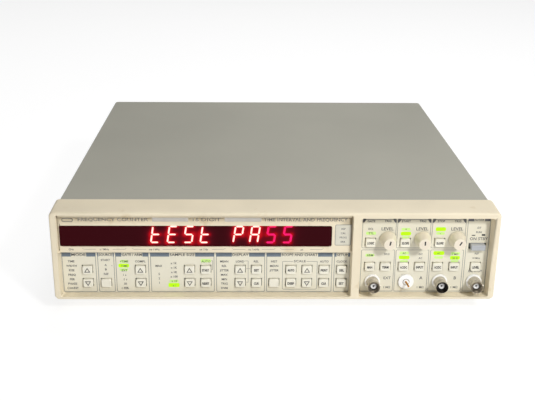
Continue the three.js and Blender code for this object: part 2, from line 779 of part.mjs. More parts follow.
// The mains transformer: a laminated core on a foot plate, with its winding through it.
function mainsTransformer() {
  const floor = FLOOR_TOP + GAP;
  const { thickness } = TRANSFORMER_FOOT;
  return join(
    block(TRANSFORMER_FOOT.x, TRANSFORMER_FOOT.y, [floor, floor + thickness]),
    block(TRANSFORMER_CORE.x, TRANSFORMER_CORE.y, [floor + thickness / 2, TRANSFORMER_CORE.top]),
    block(TRANSFORMER_WINDING.x, TRANSFORMER_WINDING.y, TRANSFORMER_WINDING.z),
  );
}

// A foot: a tapered turned block under the bottom cover.
function foot() {
  const height = FOOT_HEIGHT + COVER_STEP - GAP;
  const upright = new THREE.LatheGeometry(
    [
      [0, 0],
      [FOOT_RADIUS - 2, 0],
      [FOOT_RADIUS - 1.2, 0.8],
      [FOOT_RADIUS, height],
      [0, height],
    ].map(([radius, z]) => new THREE.Vector2(radius, z)),
    24,
  );
  return solid(upright.rotateX(Math.PI / 2));
}

// ---------------------------------------------------------------- assembly

place("front_bezel", "bezel", frontBezel());
place("control_panel", "panel", controlPanel());
place("input_panel", "panel", inputPanel());
place(
  "display_window",
  "window",
  block(
    [WINDOW_X[0] + GAP, WINDOW_X[1] - GAP],
    [SHELF_Y + 0.8, PANEL_Y - 0.7],
    [WINDOW_Z[0] + GAP, WINDOW_Z[1] - GAP],
  ),
);
place("display_board", "circuitBoard", displayBoard());
place("input_board", "circuitBoard", inputBoard());
place("chassis_frame", "bareMetal", chassisFrame());
place("top_cover", "cover", topCover());
place("bottom_cover", "cover", bottomCover());
place("rear_panel", "bareMetal", rearPanel());
place("rear_connector_board", "circuitBoard", rearConnectorBoard());
place("main_board", "circuitBoard", mainBoard());
place("mains_transformer", "core", mainsTransformer());
place("power_inlet", "blackPlastic", powerInlet());
place("fan_frame", "blackPlastic", fanFrame(), FAN_X, 0, FAN_Z);
place("fan_impeller", "blackPlastic", fanImpeller(), FAN_X, 0, FAN_Z);

const cap = keyCap();
for (const { name, x, z } of [...controlKeyPlaces, ...inputKeyPlaces]) {
  place(`key_${name}`, "key", cap, x, 0, z);
}

const knob = levelKnob();
for (const [channel, x] of Object.entries(KNOB_X)) {
  place(`level_knob_${channel}`, "knob", knob, x, 0, KNOB_Z);
}

place("power_button", "power", powerButton(), POWER_X, 0, POWER_Z);

const socket = coaxialSocket();
for (const channel of ["ext", "b", "ref"]) {
  place(`socket_${channel}`, "nickel", socket, SOCKET_X[channel], 0, SOCKET_Z);
}
place("socket_a", "insulator", brokenSocket(), SOCKET_X.a, 0, SOCKET_Z);

const sides = { left: -FOOT_X, right: FOOT_X };
const ends = { front: FOOT_Y[0], rear: FOOT_Y[1] };
const rubberFoot = foot();
for (const [side, x] of Object.entries(sides)) {
  for (const [end, y] of Object.entries(ends)) {
    place(`foot_${end}_${side}`, "rubber", rubberFoot, x, y, -FOOT_HEIGHT);
  }
}

const group = new THREE.Group();
group.add(instrument);
export default group;
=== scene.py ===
import math

import bmesh
import bpy
from mathutils import Matrix, Vector


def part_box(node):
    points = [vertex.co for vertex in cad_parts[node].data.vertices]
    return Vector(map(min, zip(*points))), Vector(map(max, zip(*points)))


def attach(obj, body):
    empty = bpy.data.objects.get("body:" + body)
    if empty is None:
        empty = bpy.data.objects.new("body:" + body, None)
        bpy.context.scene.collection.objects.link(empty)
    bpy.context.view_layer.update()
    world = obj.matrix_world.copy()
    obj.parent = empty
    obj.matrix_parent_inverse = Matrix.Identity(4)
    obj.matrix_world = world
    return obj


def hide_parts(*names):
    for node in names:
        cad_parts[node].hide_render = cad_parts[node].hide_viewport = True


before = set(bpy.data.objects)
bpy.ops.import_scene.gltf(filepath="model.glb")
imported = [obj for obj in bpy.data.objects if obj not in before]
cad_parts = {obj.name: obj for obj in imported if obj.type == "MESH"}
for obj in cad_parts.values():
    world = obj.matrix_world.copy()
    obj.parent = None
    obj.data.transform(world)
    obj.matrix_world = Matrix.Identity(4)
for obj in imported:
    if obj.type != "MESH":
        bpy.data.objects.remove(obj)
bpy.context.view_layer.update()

# A bench frequency counter. Lengths here are in millimetres in the case's own frame: x to the
# right of someone facing it, y back from the bezel's front plane, z up from the bezel's lower
# edge. point() turns them into the frame's metres.

MM = 0.001
BEZEL_LOW, BEZEL_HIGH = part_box("front_bezel")


def point(x, y, z):
    return Vector((x * MM, BEZEL_LOW.y + y * MM, BEZEL_LOW.z + z * MM))


def local_box(node):
    """A CAD node's low and high corners, in the case's own frame."""
    low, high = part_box(node)
    base = Vector((0, BEZEL_LOW.y, BEZEL_LOW.z))
    return (low - base) / MM, (high - base) / MM


def local_place(node):
    """A CAD node's low and high corners, then its middle in x and in z."""
    low, high = local_box(node)
    return low, high, (low.x + high.x) / 2, (low.z + high.z) / 2


# ------------------------------------------------------------------ driving dimensions

CASE_WIDTH = (BEZEL_HIGH.x - BEZEL_LOW.x) / MM
BEZEL_HEIGHT = (BEZEL_HIGH.z - BEZEL_LOW.z) / MM
BEZEL_DEPTH = (BEZEL_HIGH.y - BEZEL_LOW.y) / MM
BEZEL_CORNER = 4
PANEL_Y = local_box("control_panel")[0].y
SHELF_Y = 4.5  # the face of the display's surround
WINDOW_LOW, WINDOW_HIGH = local_box("display_window")
WINDOW_LOW += Vector((-0.8, 0, -0.9))  # the filter shows a little past the CAD's on three sides
WINDOW_HIGH += Vector((0.5, 0, 0))
COVER_LOW, COVER_HIGH = local_box("top_cover")
SHEET = 1.5
COVER_CORNER = 4
REAR_Y = local_box("rear_panel")[1].y

# The bezel's openings. The display's surround is the upper part of the control opening.
CONTROL_X = (-172.5, 61)
CONTROL_Z = (3.0, 40.7)
DISPLAY_TOP = 73.2
INPUT_X = (67.4, 172.4)
INPUT_Z = (3.0, 71.1)
OPENING_DRAFT = 0.9
OPENING_CORNER = 1.6

INK = 0.05  # how far print stands on its surface

# ------------------------------------------------------------------ materials


def linear(red, green, blue):
    """An 8-bit sRGB colour as the linear colour that shader sockets take."""
    channels = []
    for value in (red, green, blue):
        share = value / 255
        channels.append(share / 12.92 if share <= 0.04045 else ((share + 0.055) / 1.055) ** 2.4)
    return (*channels, 1.0)


def tinted(colour, factor):
    return tuple(min(1.0, channel * factor) for channel in colour[:3]) + (1.0,)


def grey(level):
    return (level, level, level, 1.0)


def new_material(name, constants):
    """A material, its node tree, and its shader with some inputs set."""
    material = bpy.data.materials.new(name)
    material.use_nodes = True
    shader = material.node_tree.nodes["Principled BSDF"]
    for title, value in constants.items():
        shader.inputs[title].default_value = value
    return material, material.node_tree, shader


def noise(tree, coords, scale, detail):
    node = tree.nodes.new("ShaderNodeTexNoise")
    node.inputs["Scale"].default_value = scale
    node.inputs["Detail"].default_value = detail
    tree.links.new(coords.outputs["Object"], node.inputs["Vector"])
    return node.outputs["Fac"]


def ramp(tree, source, stops):
    """source as a colour, by (position, colour) stops."""
    node = tree.nodes.new("ShaderNodeValToRGB")
    elements = node.color_ramp.elements
    while len(elements) < len(stops):
        elements.new(0.5)
    for element, (position, colour) in zip(elements, stops):
        element.position = position
        element.color = colour
    tree.links.new(source, node.inputs["Fac"])
    return node.outputs["Color"]


def surface(
    name, colour, roughness=0.5, metallic=0.0, mottle=0.05, mottle_scale=30, grain=0.02, grain_scale=1500,
    stain=None,
):
    """A worked surface: soft colour mottle, a fine relief, and roughness that varies with it."""
    material, tree, shader = new_material(name, {"Metallic": metallic})
    colour = linear(*colour)
    coords = tree.nodes.new("ShaderNodeTexCoord")
    broad = noise(tree, coords, mottle_scale, 5.0)
    tones = [(0.3, tinted(colour, 1 - mottle)), (0.7, tinted(colour, 1 + mottle / 2))]
    tone = ramp(tree, broad, tones)
    if stain:
        spots = noise(tree, coords, 55, 6.0)
        reach = ramp(tree, spots, [(0.66, grey(0)), (0.8, grey(1))])
        mix = tree.nodes.new("ShaderNodeMix")
        mix.data_type = "RGBA"
        mix.inputs["B"].default_value = linear(*stain)
        tree.links.new(reach, mix.inputs["Factor"])
        tree.links.new(tone, mix.inputs["A"])
        tone = mix.outputs["Result"]
    tree.links.new(tone, shader.inputs["Base Color"])
    relief = noise(tree, coords, grain_scale, 2.0)
    bump = tree.nodes.new("ShaderNodeBump")
    bump.inputs["Strength"].default_value = 0.35
    bump.inputs["Distance"].default_value = grain * MM
    tree.links.new(relief, bump.inputs["Height"])
    tree.links.new(bump.outputs["Normal"], shader.inputs["Normal"])
    spread = tree.nodes.new("ShaderNodeMapRange")
    spread.inputs["To Min"].default_value = roughness * 0.85
    spread.inputs["To Max"].default_value = min(1.0, roughness * 1.15)
    tree.links.new(broad, spread.inputs["Value"])
    tree.links.new(spread.outputs["Result"], shader.inputs["Roughness"])
    return material


def ink(name, colour, roughness=0.65, mottle=0.12, mottle_scale=300):
    return surface(name, colour, roughness, mottle=mottle, mottle_scale=mottle_scale)


def lit(name, colour, strength, edge_colour, reflects=0.12):
    """A lit light bar or numeral segment, a little uneven across its face."""
    colour = linear(*colour)
    constants = {
        "Roughness": 0.35,
        "Specular IOR Level": 0.2,
        "Base Color": tinted(colour, reflects),
        "Emission Strength": strength,
    }
    material, tree, shader = new_material(name, constants)
    uneven = noise(tree, tree.nodes.new("ShaderNodeTexCoord"), 420, 2.0)
    tone = ramp(tree, uneven, [(0.35, linear(*edge_colour)), (0.65, colour)])
    tree.links.new(tone, shader.inputs["Emission Color"])
    return material


def filter_window(name):
    """The dark red filter, whose face carries the halo of the lit numerals behind it."""
    material = surface(name, (20, 6, 10), 0.22, mottle=0.1, mottle_scale=14, grain=0.004)
    tree = material.node_tree
    shader = tree.nodes["Principled BSDF"]
    shader.inputs["Specular IOR Level"].default_value = 0.03
    shader.inputs["Emission Strength"].default_value = 1.0
    halo = tree.nodes.new("ShaderNodeAttribute")
    halo.attribute_name = "halo"
    glow = [
        (0.0, (0.03, 0.0, 0.001, 1)),
        (0.15, (0.06, 0.0, 0.003, 1)),
        (0.3, (0.15, 0.0, 0.004, 1)),
        (0.45, (0.4, 0.0, 0.004, 1)),
        (1.0, (0.8, 0.02, 0.03, 1)),
    ]
    tree.links.new(ramp(tree, halo.outputs["Fac"], glow), shader.inputs["Emission Color"])
    return material


BEZEL = surface("bezel_moulding", (223, 211, 185), grain=0.03, grain_scale=900, stain=(205, 186, 150))
PANEL = surface("panel_overlay", (222, 217, 198), 0.6, mottle=0.03, grain=0.012, grain_scale=2200)
COVER = surface(
    "cover_paint", (163, 161, 149), 0.6, mottle=0.06, mottle_scale=9, grain=0.06, grain_scale=1100
)
REAR = surface("rear_paint", (196, 192, 176), 0.6, grain=0.04, grain_scale=1100)
KEY = surface("key_plastic", (228, 224, 208), 0.42, mottle=0.03, grain=0.01)
KNOB = surface("knob_plastic", (228, 219, 197), 0.4, grain=0.012)
KNOB_FACE = surface("knob_face", (224, 213, 194), 0.45, grain=0.01)
POWER = surface("power_button_plastic", (168, 171, 174), 0.45, mottle=0.04, grain=0.01)
INSULATOR = surface("white_insulator", (244, 243, 240), 0.38, mottle=0.02, grain=0.008)
BOARD = surface("circuit_board_mask", (38, 88, 52), 0.4, mottle=0.25, mottle_scale=160)
BLACK = surface("black_moulding", (30, 30, 32), 0.48, mottle=0.2, grain=0.03, grain_scale=1000)
RUBBER = surface("foot_rubber", (42, 42, 44), 0.8, mottle=0.2, mottle_scale=90, grain=0.05)

# Metals: the colour, roughness, how metallic, mottle and its scale, then the grain.
NICKEL = surface("nickel_plate", (206, 198, 182), 0.42, 0.6, 0.25, 260, 0.01)
DULL_NICKEL = surface("dull_nickel", (132, 122, 106), 0.4, 0.9, 0.3, 300, 0.01)
DARK_NICKEL = surface("tarnished_nickel", (40, 34, 30), 0.35, 0.9, 0.3, 300, 0.01)
GOLD = surface("contact_gold", (196, 140, 62), 0.3, 1.0, 0.3, 500)
CHASSIS = surface("chassis_sheet", (186, 187, 186), 0.42, 0.85, 0.12, 50)
CORE = surface("varnished_core", (70, 66, 62), 0.5, 0.4, 0.3, 120)

GREY_INK = ink("grey_ink", (78, 80, 84), 0.7, 0.15)
LINE_INK = ink("line_ink", (148, 146, 138), 0.7)
HEADING_INK = ink("heading_ink", (104, 116, 128))
CORNER_INK = ink("corner_ink", (100, 100, 104))
HEADER_INK = ink("header_ink", (122, 118, 112), mottle=0.15)
SILVER_INK = ink("silver_ink", (182, 177, 170), 0.45, 0.08, 200)
ANNUNCIATOR = ink("annunciator_film", (206, 202, 186), 0.4, 0.06, 120)
BLACK_INK = ink("black_ink", (38, 38, 42), mottle=0.2)

WINDOW = filter_window("red_filter")
LIT = lit("light_bar_lit", (198, 255, 0), 0.95, (180, 244, 4))
PALE = lit("light_bar_leak", (198, 236, 136), 0.25, (184, 224, 122), reflects=0.8)
SEGMENT_GLOW = lit("segment_red", (255, 44, 50), 1.0, (236, 20, 34))
SEGMENT_CORE = lit("segment_hot", (255, 244, 232), 1.1, (255, 226, 210))
SEGMENT_MAGENTA = lit("segment_magenta", (255, 0, 110), 1.0, (240, 4, 84))


# ------------------------------------------------------------------ making pieces


def linked(name, data):
    """A new object in the scene."""
    made = bpy.data.objects.new(name, data)
    bpy.context.scene.collection.objects.link(made)
    return made


def mesh_from(bm, name):
    bmesh.ops.recalc_face_normals(bm, faces=bm.faces)
    mesh = bpy.data.meshes.new(name)
    bm.to_mesh(mesh)
    bm.free()
    return mesh


def mesh_of(made):
    """An object's mesh with its modifiers or its curve worked out."""
    graph = bpy.context.evaluated_depsgraph_get()
    return bpy.data.meshes.new_from_object(made.evaluated_get(graph))


def new_piece(name, shape, material, body="case", slot=None, replaces=(), smooth=32):
    """A mesh or bmesh as an object that rides on a body and stands for CAD nodes. slot is not used."""
    mesh = mesh_from(shape, name) if isinstance(shape, bmesh.types.BMesh) else shape
    if smooth:
        mesh.shade_smooth()
        mesh.set_sharp_from_angle(angle=math.radians(smooth))
    mesh.materials.append(material)
    piece = linked(name, mesh)
    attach(piece, body)
    if replaces:
        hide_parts(*replaces)
    return piece


def print_piece(name, bm, material, body="case"):
    return new_piece(name, bm, material, body, "legend_ink", smooth=None)


def quarter_arc(centre_x, centre_z, radius, quarter, steps):
    """A quarter of a circle as points, anticlockwise from quarter * 90 degrees."""
    points = []
    for step in range(steps + 1):
        angle = (quarter + step / steps) * math.pi / 2
        points.append((centre_x + radius * math.cos(angle), centre_z + radius * math.sin(angle)))
    return points


def rounded_outline(x, z, width, height, radius, steps=6):
    """A rounded rectangle in x and z, anticlockwise as seen from the front."""
    outline = []
    for quarter, (sign_x, sign_z) in enumerate(((1, 1), (-1, 1), (-1, -1), (1, -1))):
        centre = x + sign_x * (width / 2 - radius), z + sign_z * (height / 2 - radius)
        outline += quarter_arc(*centre, radius, quarter, steps)
    return outline


def add_skin(bm, rings, closed=False):
    """Faces from ring to ring, closed back to the first where asked. A ring of one vert is a tip."""
    pairs = list(zip(rings, rings[1:]))
    if closed:
        pairs.append((rings[-1], rings[0]))
    for near, far in pairs:
        count = max(len(near), len(far))
        for i in range(count):
            j = (i + 1) % count
            corners = [near[i % len(near)], far[i % len(far)], far[j % len(far)], near[j % len(near)]]
            bm.faces.new(list(dict.fromkeys(corners)))


def add_tube(bm, rings):
    """A skin from ring to ring that is closed at both ends."""
    add_skin(bm, rings)
    bm.faces.new(rings[0])
    bm.faces.new(reversed(rings[-1]))


def add_loft(bm, rings):
    """A tube through (y, outline) rings."""
    add_tube(bm, [[bm.verts.new(point(x, y, z)) for x, z in outline] for y, outline in rings])


def loft_mesh(name, rings):
    bm = bmesh.new()
    add_loft(bm, rings)
    return mesh_from(bm, name)


def add_slab(bm, outline, y_front, thickness):
    """A flat shape with an (x, z) outline, from y_front back by its thickness."""
    add_loft(bm, [(y_front, outline), (y_front + thickness, outline)])


def add_lathe(bm, x, z, profile, sides=40, closed=False, place=point):
    """A turned shape about the y axis through (x, z), from (radius, y) pairs."""
    rings = []
    for radius, y in profile:
        angles = [2 * math.pi * side / sides for side in range(sides if radius else 1)]
        spots = [(x + radius * math.cos(angle), z + radius * math.sin(angle)) for angle in angles]
        rings.append([bm.verts.new(place(spot_x, y, spot_z)) for spot_x, spot_z in spots])
    add_skin(bm, rings, closed)


def turned(name, x, z, profile, material, slot, sides=40, closed=False, smooth=40, **more):
    """A new piece that is one turned shape."""
    bm = bmesh.new()
    add_lathe(bm, x, z, profile, sides, closed)
    return new_piece(name, bm, material, slot=slot, smooth=smooth, **more)


def profile_from(base, offsets, sign=1):
    """(radius, offset) pairs as a profile, with the offsets measured from base."""
    return [(radius, base + sign * offset) for radius, offset in offsets]


def add_box(bm, low, high, place=point):
    corners = [
        bm.verts.new(place(x, y, z))
        for x in (low[0], high[0])
        for y in (low[1], high[1])
        for z in (low[2], high[2])
    ]
    for face in ((0, 1, 3, 2), (4, 6, 7, 5), (0, 4, 5, 1), (2, 3, 7, 6), (0, 2, 6, 4), (1, 5, 7, 3)):
        bm.faces.new([corners[i] for i in face])


def box_mesh(low, high):
    bm = bmesh.new()
    add_box(bm, low, high)
    return mesh_from(bm, "box")


def carved(mesh, cutters, bevel=0.0, segments=3):
    """mesh with the cutter meshes taken out of it, then its sharp edges rounded."""
    body = linked("scratch", mesh)
    helpers = [linked("scratch", cutter) for cutter in cutters]
    for helper in helpers:
        step = body.modifiers.new("cut", "BOOLEAN")
        step.operation = "DIFFERENCE"
        step.solver = "EXACT"
        step.object = helper
    if bevel:
        edge = body.modifiers.new("edge", "BEVEL")
        edge.width = bevel * MM
        edge.segments = segments
        edge.limit_method = "ANGLE"
        edge.angle_limit = math.radians(40)
        edge.use_clamp_overlap = True
    result = mesh_of(body)
    for made in (body, *helpers):
        bpy.data.objects.remove(made)
    return result


def add_ribbon(bm, path, width, y_front, closed=False):
    """A printed line of one width along (x, z) points."""
    points = [Vector(p) for p in path]
    count = len(points)
    rings = []
    for i, here in enumerate(points):
        before = points[i - 1] if closed or i > 0 else None
        after = points[(i + 1) % count] if closed or i < count - 1 else None
        into = (here - before).normalized() if before is not None else None
        out = (after - here).normalized() if after is not None else None
        into = into or out
        out = out or into
        across = Vector((-(into.y + out.y), into.x + out.x)).normalized()
        stretch = 1 / max(0.5, across.dot(Vector((-into.y, into.x))))
        aside = across * width / 2 * stretch
        left, right, deep = here + aside, here - aside, y_front + INK
        corners = ((left, y_front), (right, y_front), (right, deep), (left, deep))
        rings.append([bm.verts.new(point(corner.x, y, corner.y)) for corner, y in corners])
    if closed:
        add_skin(bm, rings, closed=True)
    else:
        add_tube(bm, rings)


CAP_HEIGHT = 0.69  # a capital's height in the built-in font at size 1


def add_text(bm, y_front, words, x, z, height, width=None, thickness=INK, weight=0.012):
    """Generic lettering centred on (x, z), with capitals of the given height."""
    curve = bpy.data.curves.new("words", "FONT")
    curve.body = words
    curve.offset = weight
    curve.resolution_u = 2
    curve.extrude = 0.5
    holder = linked("words", curve)
    mesh = mesh_of(holder)
    xs = [v.co.x for v in mesh.vertices]
    scale = height / CAP_HEIGHT
    spread = scale if width is None else width / (max(xs) - min(xs))
    middle = (max(xs) + min(xs)) / 2
    for v in mesh.vertices:
        depth = y_front + (0.5 - v.co.z) * thickness
        v.co = point(x + (v.co.x - middle) * spread, depth, z + (v.co.y - CAP_HEIGHT / 2) * scale)
    bm.from_mesh(mesh)
    bpy.data.objects.remove(holder)
    bpy.data.curves.remove(curve)
    bpy.data.meshes.remove(mesh)


# ------------------------------------------------------------------ bezel, panels and covers


def make_bezel():
    middle = BEZEL_HEIGHT / 2
    corner_steps, lip_steps = 10, 8
    lip_depth, lip_inset, lip_side = 1.8, 1.5, 0.5
    rings = []
    for step in range(lip_steps + 1):
        angle = step / lip_steps * math.pi / 2
        inset = lip_side + lip_inset * (1 - math.sin(angle))
        width, height = CASE_WIDTH - 2 * inset, BEZEL_HEIGHT - 2 * inset
        outline = rounded_outline(0, middle, width, height, BEZEL_CORNER - inset / 2, corner_steps)
        rings.append((lip_depth * (1 - math.cos(angle)), outline))
    outline = rounded_outline(0, middle, CASE_WIDTH, BEZEL_HEIGHT, BEZEL_CORNER, corner_steps)
    rings.append((BEZEL_DEPTH, outline))

    def drafted(x_range, z_range, depth, draft, radius):
        """An opening whose top and sides close in as it goes back."""
        rings = []
        for y in (-1, depth):
            inset = draft * y / depth
            width = x_range[1] - x_range[0] - 2 * inset
            low, high = z_range[0], z_range[1] - inset
            outline = rounded_outline(sum(x_range) / 2, (low + high) / 2, width, high - low, radius)
            rings.append((y, outline))
        return loft_mesh("opening", rings)

    side_wall, edge, gap = 3.2, 2.6, 0.3
    inner, window_corner = CASE_WIDTH / 2 - side_wall, 1.9
    window_x = (WINDOW_LOW.x - gap, WINDOW_HIGH.x + gap)
    window_z = (WINDOW_LOW.z - gap, WINDOW_HIGH.z + gap)
    cutters = [
        box_mesh((-inner, PANEL_Y - gap, edge), (inner, BEZEL_DEPTH + 1, BEZEL_HEIGHT - edge)),
        drafted(CONTROL_X, (CONTROL_Z[0], DISPLAY_TOP), SHELF_Y, 0.5, OPENING_CORNER),
        drafted(CONTROL_X, CONTROL_Z, PANEL_Y, OPENING_DRAFT, OPENING_CORNER),
        drafted(INPUT_X, INPUT_Z, PANEL_Y, OPENING_DRAFT, OPENING_CORNER),
        drafted(window_x, window_z, PANEL_Y, 0.01, window_corner),
    ]
    mesh = carved(loft_mesh("bezel", rings), cutters, bevel=0.45)
    mesh = carved(mesh, display_gap())
    new_piece("bezel_moulding", mesh, BEZEL, slot="bezel", replaces=["front_bezel"])


def display_gap():
    """Cutters for the gap round the display's surround, at its top and its two ends."""
    side, above = 0.75, 2.5
    near, far = SHELF_Y - 0.6, SHELF_Y + 2.2
    left, right = CONTROL_X[0] + 0.5, CONTROL_X[1] - 0.5
    bottom, top = CONTROL_Z[1] + 0.8, DISPLAY_TOP - 0.5
    return [
        box_mesh((left, near, top - above), (right, far, top)),
        box_mesh((left, near, bottom), (left + side, far, top - side)),
        box_mesh((right - side, near, bottom), (right, far, top - side)),
    ]


def make_window():
    """The filter plate, with the numerals' halo written on the vertices of its face."""
    columns, rows = 430, 34
    width, depth, height = WINDOW_HIGH - WINDOW_LOW
    digits = lit_digits()
    bm = bmesh.new()
    halo = bm.verts.layers.float.new("halo")
    grid = []
    for row in range(rows + 1):
        z = WINDOW_LOW.z + height * row / rows
        line = []
        for column in range(columns + 1):
            x = WINDOW_LOW.x + width * column / columns
            vert = bm.verts.new(point(x, WINDOW_LOW.y, z))
            vert[halo] = halo_at(x, z, digits)
            line.append(vert)
        grid.append(line)
    for under, over in zip(grid, grid[1:]):
        for i in range(columns):
            bm.faces.new((under[i], under[i + 1], over[i + 1], over[i]))
    rim = grid[0] + [line[-1] for line in grid[1:]] + grid[-1][-2::-1]
    rim += [line[0] for line in grid[-2:0:-1]]
    back = [bm.verts.new(v.co + Vector((0, depth * MM, 0))) for v in rim]
    add_skin(bm, [rim, back])
    bm.faces.new(back)
    new_piece("display_filter", bm, WINDOW, slot="window", replaces=["display_window"], smooth=None)


def case_plan(inset, front, back, steps=8):
    """The plan of the case behind the bezel as (x, y) points, its rear corners rounded."""
    half, rear = COVER_HIGH.x - inset, back - inset
    radius = max(0.3, COVER_CORNER - inset)
    plan = [(-half, front), (half, front)]
    for centre_x, quarter in ((half - radius, 0), (-half + radius, 1)):
        plan += quarter_arc(centre_x, rear - radius, radius, quarter, steps)
    return plan


def plan_prism(plan, z_low, z_high):
    bm = bmesh.new()
    add_tube(bm, [[bm.verts.new(point(x, y, z)) for x, y in plan] for z in (z_low, z_high)])
    return mesh_from(bm, "prism")


def make_covers():
    front, back = COVER_LOW.y, COVER_HIGH.y
    low, top = COVER_LOW.z, COVER_HIGH.z
    outer = plan_prism(case_plan(0, front, back), low, top)
    bm = bmesh.new()
    bm.from_mesh(outer)
    top_z = point(0, 0, top).z
    edges = [
        edge
        for edge in bm.edges
        if all(abs(v.co.z - top_z) < 1e-6 for v in edge.verts)
        and not all(abs(v.co.y - point(0, front, 0).y) < 1e-6 for v in edge.verts)
    ]
    bmesh.ops.bevel(bm, geom=edges, offset=SHEET * MM, segments=5, profile=0.5, affect="EDGES")
    outer = mesh_from(bm, "cover")
    inside = plan_prism(case_plan(SHEET, front - 2, back), low - 1, top - SHEET)
    lip_side, lip_top = 7, 5.5
    gap_low = (COVER_LOW.x + lip_side, back - 8, low - 1)
    rear_gap = box_mesh(gap_low, (COVER_HIGH.x - lip_side, back + 1, top - lip_top))
    mesh = carved(outer, [inside, rear_gap])
    new_piece("cover_skin", mesh, COVER, slot="cover", replaces=["top_cover"])

    low, high = local_box("bottom_cover")
    floor = plan_prism(case_plan(0, low.y, high.y), low.z, high.z)
    mesh = carved(floor, [], bevel=0.4, segments=2)
    new_piece("bottom_skin", mesh, COVER, slot="cover", replaces=["bottom_cover"])


def make_foot(node):
    low, high = local_box(node)
    centre, radius, height = (low + high) / 2, (high.x - low.x) / 2, high.z - low.z
    profile = [(0, 3.5), (3.2, 3.5), (3.6, 0.4), (4.2, 0.0), (radius - 2.2, 0.0)]
    profile += [(radius - 1.5, 0.25), (radius - 1.1, 0.9), (radius, height), (0, height)]

    def upright(x, y, z):
        return point(centre.x + x, centre.y - z, low.z + y)

    bm = bmesh.new()
    add_lathe(bm, 0, 0, profile, 48, place=upright)
    new_piece(f"{node}_moulding", bm, RUBBER, slot="foot_rubber", replaces=[node])


def make_feet():
    for side in ("left", "right"):
        for end in ("front", "rear"):
            make_foot(f"foot_{end}_{side}")


# ------------------------------------------------------------------ numerals

DIGIT_PITCH = 13.04
FIRST_DIGIT_X = -160.1
DIGIT_Z = 55.4
DIGIT_HEIGHT = 15.2
DIGIT_WIDTH = 7.8
DIGIT_SLANT = math.tan(math.radians(9))
SEGMENTS = {"t": "defg", "E": "adefg", "S": "acdfg", "P": "abefg", "A": "abcefg", " ": ""}
MESSAGE = "     tESt PASS  "
MAGENTA_FROM = 12  # the last letters are a colder red


def segment_lines():
    """Each segment's two ends about the digit's middle, before the slant."""
    right, top = DIGIT_WIDTH / 2 - 0.8, DIGIT_HEIGHT / 2 - 0.8
    return {
        "a": ((-right, top), (right, top)),
        "b": ((right, top), (right, 0)),
        "c": ((right, 0), (right, -top)),
        "d": ((-right, -top), (right, -top)),
        "e": ((-right, 0), (-right, -top)),
        "f": ((-right, top), (-right, 0)),
        "g": ((-right, 0), (right, 0)),
    }


def lit_digits():
    lines = segment_lines()
    digits = []
    for index, letter in enumerate(MESSAGE):
        strokes = []
        for name in SEGMENTS[letter]:
            ends = [
                Vector((FIRST_DIGIT_X + index * DIGIT_PITCH + x + z * DIGIT_SLANT, DIGIT_Z + z))
                for x, z in lines[name]
            ]
            strokes.append(ends)
        digits.append({"strokes": strokes, "magenta": index >= MAGENTA_FROM})
    return digits


def halo_at(x, z, digits):
    """How strongly the filter glows at a place, from every lit stroke round it."""
    here = Vector((x, z))
    dark = 1.0
    for digit in digits:
        share = 0.4 if digit["magenta"] else 0.55
        for start, end in digit["strokes"]:
            if abs(start.x - x) > 20:
                continue
            along = end - start
            nearest = max(0.0, min(1.0, (here - start).dot(along) / along.length_squared))
            distance = (here - start - along * nearest).length
            dark *= 1 - share * math.exp(-distance / 2.0)
    return 1 - dark


def add_bar(bm, start, end, half, y_front, trim):
    """One numeral segment: a bar with pointed ends."""
    along = (end - start).normalized()
    across = Vector((-along.y, along.x)) * half
    first, last = start + along * trim, end - along * trim
    outline = [
        first,
        first + along * half - across,
        last - along * half - across,
        last,
        last - along * half + across,
        first + along * half + across,
    ]
    add_slab(bm, [(p.x, p.y) for p in outline], y_front, 0.2)


def make_numerals():
    """The lit segments: a red glow with a hot core, and the last letters in a colder red."""
    glow, core, magenta = bmesh.new(), bmesh.new(), bmesh.new()
    face = WINDOW_LOW.y
    for digit in lit_digits():
        for start, end in digit["strokes"]:
            if digit["magenta"]:
                add_bar(magenta, start, end, 0.85, face - 0.06, 0.15)
            else:
                add_bar(glow, start, end, 0.95, face - 0.06, 0.05)
                add_bar(core, start, end, 0.62, face - 0.12, 0.3)
    for name, bm, material in (
        ("numeral_segments", glow, SEGMENT_GLOW),
        ("numeral_cores", core, SEGMENT_CORE),
        ("numeral_segments_cold", magenta, SEGMENT_MAGENTA),
    ):
        new_piece(name, bm, material, slot="numeral_lit", smooth=None)


# ------------------------------------------------------------------ printed panels

CONTROL_TOP = 37.9
HEADING = 3.3
GROUP_TOP = CONTROL_TOP - HEADING
GROUP_BOTTOM = 3.6
LEGEND_TOP = 30.4
LEGEND_PITCH = 3.95

# Each control group: its heading, left and right edges, and the heading's width.
GROUPS = [
    ("MODE", -171.1, -144.4, 11.5),
    ("SOURCE", -142.6, -129.8, 10.5),
    ("GATE / ARM", -128.2, -102.1, 16),
    ("SAMPLE SIZE", -100.3, -49.4, 20),
    ("DISPLAY", -47.5, -8.6, 13),
    ("SCOPE AND CHART", -6.9, 45.8, 29),
    ("SETUP", 47.7, 60.2, 8.5),
]

